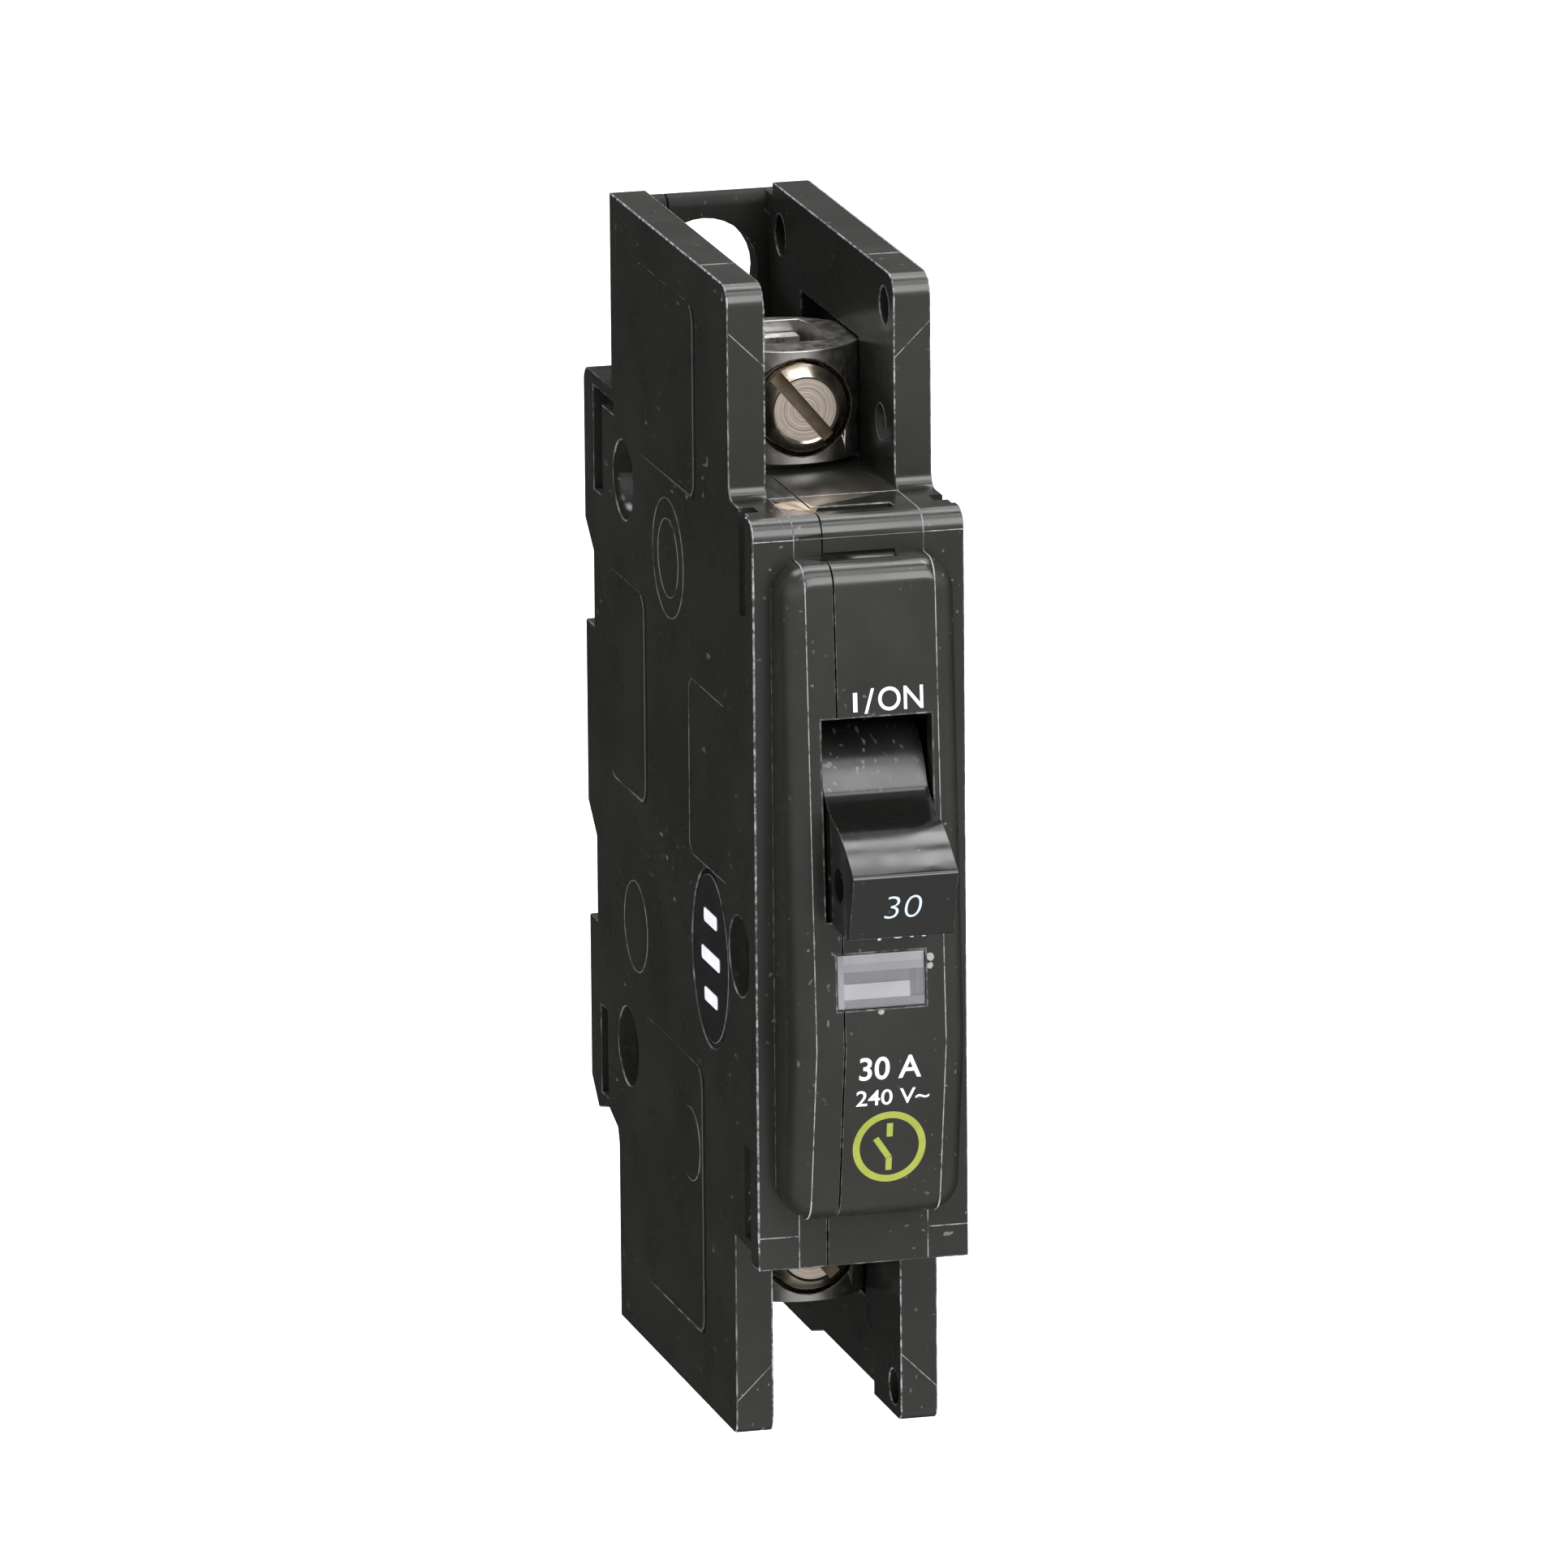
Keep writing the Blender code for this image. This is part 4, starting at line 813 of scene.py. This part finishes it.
def worn_lines():
    """Rubbed edges, the openings' rims, the nose's left foot, and at the front edges of the side panels a
    pale line of painted highlight and a dark band of painted shade.
    """
    top = BARRIER_TOP
    inner_left, inner_right = BARRIER_INNER
    edges = [
        ([(0, 0, 2.0), (0, 0, PLATE_TOP - PLATE_ROUND)], (-1, -1, 0), 0.2),
        ([(BODY_LEFT, 11.5, top), (BODY_LEFT, 50.4, top)], (-1, 0, 1), 0.17),
        ([(BODY_RIGHT, 11.5, top), (BODY_RIGHT, 50.4, top)], (1, 0, 1), 0.14),
        ([(inner_right, 11.5, top), (inner_right, 50.4, top)], (-1, 0, 1), 0.15),
        ([(inner_left, BARRIER_FRONT, 69.0), (inner_left, BARRIER_FRONT, 84.2)], (1, -1, 0), 0.09),
        ([(inner_right, BARRIER_FRONT, 69.0), (inner_right, BARRIER_FRONT, 84.2)], (-1, -1, 0), 0.09),
        ([(BODY_LEFT, BARRIER_FRONT, 69.0), (BODY_LEFT, BARRIER_FRONT, 84.2)], (-1, -1, 0), 0.07),
        ([(inner_left, BARRIER_FRONT, -0.2), (inner_left, BARRIER_FRONT, -16.2)], (1, -1, 0), 0.08),
        ([(inner_right, BARRIER_FRONT, -0.2), (inner_right, BARRIER_FRONT, -16.2)], (-1, -1, 0), 0.08),
    ]
    show("rubbed_edge_lines", merged([ridge(*edge[:2], edge[2], 0.015) for edge in edges]), [rubbed_edge],
         "case")
    rims = [*rim_line(SLOT_X, SLOT_Z), *rim_line(WINDOW_X, WINDOW_Z)]
    rims.append(ridge([(1.58, -0.02, 7.5), (1.58, -0.02, 61.5)], (-1, -1, 0), 0.12, 0.02))
    for x, out in ((inner_right, -1), (inner_left, 1)):
        rims.append(ring_mark((48.0, 82.0), x, 1.9, out, 32))
        rims.append(ring_mark((12.6, 83.1), x, 1.7, out, 32))
    show("rim_lines", merged(rims), [seam_edge], "case")
    highlight_lines = []
    shades = []
    for x, out in ((BODY_LEFT, -1), (BODY_RIGHT, 1)):
        for y0, z0, _, z1 in PANELS:
            # Each panel's front edge gets a pale raised line, a painted highlight, and just ahead of it a
            # wide dark line, a painted shade
            for lines, edge, width, rise in (
                (highlight_lines, y0, 0.3, 0.05),
                (shades, y0 - PANEL_SHADE_GAP, 0.9, 0.03),
            ):
                corner = edge + PANEL_CORNER
                outline = arc((corner, z1 - PANEL_CORNER), PANEL_CORNER, 110, 180, 5)
                outline += arc((corner, z0 + PANEL_CORNER), PANEL_CORNER, 180, 250, 5)
                lines.append(ridge([(x, y, z) for y, z in outline], (out, 0, 0), width, rise))
    show("panel_highlights", merged(highlight_lines), [panel_highlight], "case")
    show("panel_shades", merged(shades), [panel_shade], "case")


# Handle


def toggle_half():
    """Half of the toggle's side view: from the drum over the hollow and the crown to the tip."""
    t = math.radians(CREASE_ANGLE)
    crease = (HUB_RADIUS * math.cos(t), HUB_RADIUS * math.sin(t))
    hollow = bend(crease, (8.6, 4.3), TOGGLE_WAIST, 16)
    crown = bend(TOGGLE_WAIST, (13.2, 4.75), TOGGLE_TIP, 16)
    nib = bend(TOGGLE_TIP, (TOGGLE_END[0] - 0.03, TOGGLE_TIP[1] - 0.1), TOGGLE_END, 4)
    return [crease, *hollow, *crown, *nib]


def handle():
    """The handle in one piece: drum, toggle, cheeks and pins, its long edges rounded."""
    upper = [(PIVOT[0] - a, PIVOT[1] + h) for a, h in toggle_half()]
    lower = [(PIVOT[0] - a, PIVOT[1] - h) for a, h in reversed(toggle_half())]
    drum = arc(PIVOT, HUB_RADIUS, 180 + CREASE_ANGLE, 540 - CREASE_ANGLE, 72)[1:-1]
    outline = turned([*upper, *lower, *drum], PIVOT, OFF_ANGLE)
    body = prism(outline, "X", *HANDLE_X)
    soften(body, 0.08, angle=25.0)
    ear = turned([(PIVOT[0] + EAR_REACH, PIVOT[1])], PIVOT, OFF_ANGLE)[0]
    hole = turned([(PIVOT[0] + CROSS_HOLE_REACH, PIVOT[1])], PIVOT, OFF_ANGLE)[0]
    body = combined(
        body,
        [
            rod((HANDLE_X[0], *ear), (HANDLE_X[1], *ear), EAR_RADIUS),
            rod((PIN_X[0], *PIVOT), (PIN_X[1], *PIVOT), PIN_RADIUS),
        ],
        "UNION",
    )
    rear = [(0.8, -12.0), (16.0, -12.0), (16.0, 12.0), (0.8, 12.0)]
    rear = turned([(PIVOT[0] + a, PIVOT[1] + b) for a, b in rear], PIVOT, OFF_ANGLE)
    body = combined(
        body,
        [
            rod((HOLLOW_X[0], *PIVOT), (HOLLOW_X[1], *PIVOT), HOLLOW_RADIUS),
            prism(rear, "X", *HOLLOW_X),
            rod((HANDLE_X[0] - 1, *ear), (HANDLE_X[1] + 1, *ear), CROSS_BORE_RADIUS),
            rod((4.0, *hole), (16.0, *hole), CROSS_BORE_RADIUS, 36),
        ],
        "DIFFERENCE",
    )
    for face in body.faces:
        middle = face.calc_center_median()
        apart = math.hypot(middle.y - PIVOT[0], middle.z - PIVOT[1])
        on_drum = HUB_RADIUS - 0.1 < apart < HUB_RADIUS + 0.13
        if on_drum and abs(face.normal.x) < 0.3 and middle.z > PIVOT[1] + 2.0:
            face.material_index = 2
    show("rocker_handle", body, [handle_black, handle_edge, drum_black], "handle",
         sharp=35.0, replaces=["handle"])


# Printing


def letters(text, weight, shear=0.0):
    """The text's outline as a flat bmesh, one unit high and starting at the origin."""
    curve = bpy.data.curves.new("letters", "FONT")
    curve.body = text
    curve.offset = weight
    curve.extrude = 0.01
    curve.resolution_u = 6
    curve.shear = shear
    source = placed("letters", curve)
    graph = bpy.context.evaluated_depsgraph_get()
    mesh = bpy.data.meshes.new_from_object(source.evaluated_get(graph))
    bm = bmesh.new()
    bm.from_mesh(mesh)
    bpy.data.objects.remove(source)
    low = Vector(min(v.co[i] for v in bm.verts) for i in range(3))
    high = Vector(max(v.co[i] for v in bm.verts) for i in range(3))
    bmesh.ops.translate(bm, vec=-low, verts=bm.verts)
    scale = [1.0 / (high[i] - low[i]) for i in (0, 1)]
    bmesh.ops.scale(bm, vec=(*scale, 1.0 / (high.z - low.z)), verts=bm.verts)
    return bm


def print_on_front(bm, x_range, z_range, y_face):
    """A flat unit shape printed on a face that looks to the front."""
    size = (x_range[1] - x_range[0], z_range[1] - z_range[0], 2 * INK_HALF)
    bmesh.ops.scale(bm, vec=size, verts=bm.verts)
    bmesh.ops.transform(bm, matrix=AXES["Y"].to_4x4(), verts=bm.verts)
    bmesh.ops.translate(bm, vec=(x_range[0], y_face + INK_HALF, z_range[0]), verts=bm.verts)
    return bm


def lay_on_nose(bm):
    """A shape made about Y = 0, laid on the nose's sloping face."""
    for v in bm.verts:
        v.co.y += nose_face(v.co.z)
    return bm


def strokes(points, width):
    """A flat line of that width through points, as an outline extruded about Y = 0."""
    points = [Vector(p) for p in points]
    left, right = [], []
    for k, point in enumerate(points):
        before = points[max(k - 1, 0)]
        after = points[min(k + 1, len(points) - 1)]
        along = (after - before).normalized()
        side = Vector((-along.y, along.x)) * width / 2
        left.append(tuple(point + side))
        right.append(tuple(point - side))
    return prism([*right, *reversed(left)], "Y", -INK_HALF, INK_HALF)


def legends():
    """White switch and rating marks, the handle's number and the generic switch sign."""
    marks = (
        ("legend_on", 0.006, (("I", 7.74, 8.12, 51.0, 52.7), ("/", 8.75, 9.65, 50.8, 53.0),
                             ("ON", 10.0, 14.05, 50.95, 53.05))),
        ("legend_off", 0.02, (("O", 7.6, 9.0, 31.1, 32.4), ("/", 9.4, 10.2, 30.75, 32.5),
                              ("OFF", 10.35, 14.35, 30.83, 32.5))),
        ("legend_current", 0.012, (("30 A", 7.6, 13.2, 18.25, 20.4),)),
        ("legend_voltage", 0.006, (("240 V~", 7.4, 14.0, 15.85, 17.3),)),
    )
    for name, weight, texts in marks:
        shapes = [
            lay_on_nose(print_on_front(letters(text, weight), (x0, x1), (z0, z1), 0.0))
            for text, x0, x1, z0, z1 in texts
        ]
        show(name, merged(shapes), [white_ink], "case")
    bm = print_on_front(letters("30", -0.018, 0.1), NUMBER_X, NUMBER_RISE, -TOGGLE_END[0])
    turn = Matrix.Rotation(math.radians(OFF_ANGLE), 4, "X")
    bmesh.ops.transform(bm, matrix=turn, verts=bm.verts)
    bmesh.ops.translate(bm, vec=(0, *PIVOT), verts=bm.verts)
    show("handle_number", bm, [blue_grey_ink], "handle")
    x, z = SIGN_CENTRE
    sign = [ring_stroke(SIGN_CENTRE, SIGN_RADIUS, SIGN_RING)]
    for line in (
        [(x, z + 2.2), (x, z + 0.95)],
        [(x, z - 2.2), (x, z - 1.0)],
        [(x, z - 1.0), (x - 1.25, z + 0.85)],
    ):
        sign.append(strokes(line, SIGN_STROKE))
    show("switch_sign", lay_on_nose(merged(sign)), [green_ink], "case")


def ring_stroke(centre, radius, width):
    """A flat ring about Y = 0."""
    outer = prism(arc(centre, radius, 0, 360, 64)[:-1], "Y", -INK_HALF, INK_HALF)
    inner = prism(arc(centre, radius - width, 0, 360, 64)[:-1], "Y", -1.0, 1.0)
    return combined(outer, [inner], "DIFFERENCE")


def oval_label():
    """The glossy oval label with three plain bars."""
    steps = 72
    turns = [2 * math.pi * k / steps for k in range(steps)]
    (y, z), (wide, high) = LABEL_CENTRE, LABEL_SIZE
    oval = [(y + wide / 2 * math.cos(t), z + high / 2 * math.sin(t)) for t in turns]
    film = prism(oval, "X", BODY_LEFT + 0.03, BODY_LEFT + 0.2)
    soften(film, 0.05, angle=50.0)
    show("label_film", film, [label_film, faint_line], "case", replaces=["oval_label"])
    bars = []
    for step, half in LABEL_BARS:
        level = z + step
        low = (y - half, level - BAR_HALF_HEIGHT)
        high = (y + half, level + BAR_HALF_HEIGHT)
        outline = rounded_box(low, high, 0.3, 4)
        bars.append(prism(outline, "X", BODY_LEFT - 0.01, BODY_LEFT + 0.06))
    show("label_bars", merged(bars), [white_ink], "case")


# Window


def lens_slab(x_range, z_range, sink):
    """A slab whose front lies that far behind the nose's sloping face."""
    low, high = z_range
    outline = [(LENS_REAR, low), (LENS_REAR, high)]
    outline += [(nose_face(high) + sink, high), (nose_face(low) + sink, low)]
    return prism(outline, "X", *x_range)


def window():
    """The clear lens, and behind its face the pale stepped back, whose bands' tones are painted light and
    shade.
    """
    body = lens_slab(LENS_X, LENS_Z, 0.03)
    soften(body, 0.12, edge_slot=0)
    show("window_lens_body", body, [lens_clear], "case", replaces=["window_lens"])
    left, right = LENS_X[0] + 0.06, LENS_X[1] - 0.06
    low, high = LENS_Z[0] + 0.06, LENS_Z[1] - 0.06
    inner, strip = left + 0.55, right - 1.25
    # Each band's X range, Z range, how deep it is sunk and its tone, which paints the band's light and shade
    bands = (
        ((inner, right), (low, 25.55), 0.3, 1), ((inner, strip), (25.55, 26.95), 0.36, 4),
        ((inner, strip), (26.95, 28.0), 0.5, 1), ((inner, right), (28.0, 28.75), 0.36, 2),
        ((inner, right), (28.75, 29.4), 0.3, 3), ((inner, right), (29.4, high), 0.15, 4),
        ((left, inner), (low, high), 0.2, 2), ((strip, strip + 0.5), (25.55, 28.0), 0.5, 0),
        ((strip + 0.5, right), (25.55, 28.0), 0.42, 0),
    )
    slabs = []
    for x_range, z_range, sink, tone in bands:
        slab = lens_slab(x_range, z_range, sink)
        for face in slab.faces:
            face.material_index = tone
        slabs.append(slab)
    show("window_lens_back", merged(slabs), lens_light_and_shade_tones, "case")


# Terminals


def threaded_bar(level):
    """A screw's body with a real helical thread and a flat, chamfered face."""
    bm = bmesh.new()
    start, end = SCREW_Y
    chamfer = SCREW_RADIUS - SCREW_FACE_RADIUS
    rings = []
    for row in range(SCREW_ROWS + 1):
        y = start + (end - start) * row / SCREW_ROWS
        plain = SCREW_FACE_RADIUS + min(1.0, (y - start) / CHAMFER_LENGTH) ** 0.8 * chamfer
        ring = []
        for k in range(SCREW_STEPS):
            t = 2 * math.pi * k / SCREW_STEPS
            phase = ((y / SCREW_PITCH) - k / SCREW_STEPS) % 1.0
            depth = THREAD_DEPTH * (1 - abs(2 * phase - 1))
            threaded = y > start + THREAD_START
            radius = min(plain, SCREW_RADIUS - depth) if threaded else plain
            place = (MIDDLE_X + radius * math.cos(t), y, level + radius * math.sin(t))
            ring.append(bm.verts.new(place))
        rings.append(ring)
    for first, second in zip(rings, rings[1:]):
        for k in range(SCREW_STEPS):
            after = (k + 1) % SCREW_STEPS
            bm.faces.new((first[k], first[after], second[after], second[k]))
    face = bm.faces.new(rings[0])
    bm.faces.new(rings[-1])
    dimple = bmesh.ops.inset_region(bm, faces=[face], thickness=SCREW_FACE_RADIUS - 0.45)
    bmesh.ops.inset_region(bm, faces=[face], thickness=0.2, depth=-0.18)
    for ring_face in [face, *dimple["faces"]]:
        ring_face.material_index = 1
    bmesh.ops.recalc_face_normals(bm, faces=bm.faces)
    return bm


def screws():
    """The two slotted clamp screws."""
    for end, level in SCREW_LEVELS.items():
        body = threaded_bar(level)
        slot = block((MIDDLE_X - 5, SCREW_Y[0] - 1, level - SLOT_WIDTH / 2),
                     (MIDDLE_X + 5, SCREW_Y[0] + SLOT_DEPTH, level + SLOT_WIDTH / 2))
        centre = Vector((MIDDLE_X, SCREW_Y[0], level))
        turn = Matrix.Translation(centre) @ Matrix.Rotation(math.radians(SLOT_ANGLE), 4, "Y")
        bmesh.ops.transform(slot, matrix=turn @ Matrix.Translation(-centre), verts=slot.verts)
        for slot_face in slot.faces:
            slot_face.material_index = 2
        body = combined(body, [slot], "DIFFERENCE")
        show(f"{end}_clamp_screw", body, [screw_plate, screw_faces[end], slot_metal], f"{end}_screw",
             sharp=35.0, replaces=[f"{end}_screw"])


def lugs():
    """The box lugs: rounded rims, and a countersunk thread ring in each bore."""
    for end, level in SCREW_LEVELS.items():
        body = cad_solid(f"{end}_lug")
        ends = [level - LUG_HALF_HEIGHT, level + LUG_HALF_HEIGHT]
        soften(body, 0.18, angle=25.0, keep=lambda p, ends=ends: min(abs(p.z - z) for z in ends) < 0.1)
        # Upward faces get the darker copy of the plating: painted shade
        for face in body.faces:
            if face.normal.z > 0.9:
                face.material_index = 2
        materials = [lug_plate, lug_plate, lug_top_shade]
        show(f"{end}_box_lug", body, materials, "case", replaces=[f"{end}_lug"])
        steps = 72
        wall = LUG_BORE - 0.06
        profile = [(LUG_FRONT + 0.1, wall - 0.02), (LUG_FRONT + 0.9, 4.1), (22.3, 4.1), (22.3, wall)]
        profile.append((LUG_FRONT + 0.1, wall))
        ring = bmesh.new()
        loops = []
        for k in range(steps):
            t = 2 * math.pi * k / steps
            loops.append([
                ring.verts.new((MIDDLE_X + r * math.cos(t), y, level + r * math.sin(t))) for y, r in profile
            ])
        for k in range(steps):
            first, second = loops[k], loops[(k + 1) % steps]
            for a in range(len(profile)):
                b = (a + 1) % len(profile)
                ring.faces.new((first[a], second[a], second[b], first[b]))
        bmesh.ops.recalc_face_normals(ring, faces=ring.faces)
        # The ring's darker metal paints the shade inside the bore
        show(f"{end}_lug_thread", ring, [bore_shade_metal], "case")


def rivets():
    """The tubular rivets with rounded rims."""
    for name in ("rivet_upper", "rivet_lower", "rivet_front"):
        body = cad_solid(name)
        soften(body, 0.12, edge_slot=0)
        shown = name.replace("rivet", "tubular_rivet")
        show(shown, body, [rivet_plate], "case", replaces=[name])


def inner_pieces():
    """The mechanism keeps its CAD solids and gets its materials."""
    finishes = {
        "trip_flag": red_flag, "line_strap": tinned, "load_strap": tinned, "contact_arm": copper,
        "braid": braid_copper, "fixed_contact": silver, "moving_contact": silver,
        "toggle_spring": spring_steel, "armature_spring": spring_steel, "trip_lever": zinc_steel,
        "armature": zinc_steel, "magnet_yoke": zinc_steel, "bimetal": bimetal,
        "calibration_screw": screw_plate, "arc_side_left": fibre, "arc_side_right": fibre,
    }
    finishes.update({f"arc_plate_{k}": arc_steel for k in range(1, 6)})
    for node, material in finishes.items():
        mesh = frame["nodes"][node].data
        mesh.materials.clear()
        mesh.materials.append(material)


# Studio


def direction(azimuth, elevation):
    """The direction seen at those angles in degrees; 0 degrees azimuth is the front."""
    a, e = math.radians(azimuth), math.radians(elevation)
    return Vector((math.sin(a) * math.cos(e), -math.cos(a) * math.cos(e), math.sin(e)))


def camera():
    """A long lens from the front's upper left, turned slightly about its axis."""
    back = direction(CAMERA_AZIMUTH, CAMERA_ELEVATION)
    data = bpy.data.cameras.new("camera")
    data.lens = CAMERA_LENS
    data.clip_start = 0.01
    data.clip_end = 50.0
    made = placed("camera", data)
    turn = (-back).to_track_quat("-Z", "Y").to_matrix().to_4x4()
    roll = Matrix.Rotation(math.radians(CAMERA_ROLL), 4, "Z")
    made.matrix_world = Matrix.Translation(CAMERA_TARGET + back * CAMERA_DISTANCE) @ turn @ roll
    bpy.context.scene.camera = made


def softbox(name, azimuth, elevation, distance, size, radiance):
    """A rectangular area light that looks at the part from that direction."""
    away = direction(azimuth, elevation)
    data = bpy.data.lights.new(name, "AREA")
    data.shape = "RECTANGLE"
    data.size, data.size_y = size
    data.energy = radiance * math.pi * size[0] * size[1]
    made = placed(name, data)
    made.location = LIGHT_AIM + away * distance
    made.rotation_euler = (-away).to_track_quat("-Z", "Y").to_euler()


def studio():
    """A pale floor, a white surround and soft lights above and in front."""
    bm = bmesh.new()
    bmesh.ops.create_grid(bm, x_segments=1, y_segments=1, size=FLOOR_SIZE)
    mesh = mesh_of("floor", bm)
    made, tree, shader = tree_of("floor_pale", (0.95, 0.95, 0.95), 0.9)
    shader.inputs["Emission Color"].default_value = (1.0, 1.0, 1.0, 1.0)
    shader.inputs["Emission Strength"].default_value = 0.45
    mesh.materials.append(made)
    floor = placed("floor", mesh)
    floor.location = (0.0, 0.0, cad_box[0].z - FLOOR_DROP)
    floor.visible_glossy = False

    world = bpy.data.worlds.new("surround")
    bpy.context.scene.world = world
    world.use_nodes = True
    tree = world.node_tree
    background = tree.nodes["Background"]
    path = add(tree, "LightPath")
    split = add(tree, "SeparateXYZ", {0: add(tree, "TexCoord").outputs["Generated"]})
    forward = ramp(tree, split.outputs["Y"], 0.3, -0.5, 0.055, 1.0)
    below_top = ramp(tree, split.outputs["Z"], 0.85, 0.4, 0.25, 1.0)
    haze = ramp(tree, split.outputs["Z"], 0.05, 0.5, 0.0, 0.25)
    under = ramp(tree, split.outputs["Z"], -0.1, 0.12, 0.58, 1.0)
    forward = math_of(tree, "MULTIPLY", forward, under)
    around = math_of(tree, "ADD", math_of(tree, "MULTIPLY", forward, below_top), haze)
    glossy = mixed(tree, path.outputs["Is Glossy Ray"], (0.6, 0.6, 0.6), around)
    seen = mixed(tree, path.outputs["Is Camera Ray"], glossy, (1.0, 1.0, 1.0))
    tree.links.new(seen, background.inputs["Color"])

    for name, azimuth, elevation, distance, size, radiance in SOFTBOXES:
        softbox(name, azimuth, elevation, distance, size, radiance)
    bpy.context.scene.view_settings.view_transform = "Standard"


camera()
shells()
witness_lines()
worn_lines()
handle()
legends()
oval_label()
window()
screws()
lugs()
rivets()
inner_pieces()
studio()

bpy.context.view_layer.update()
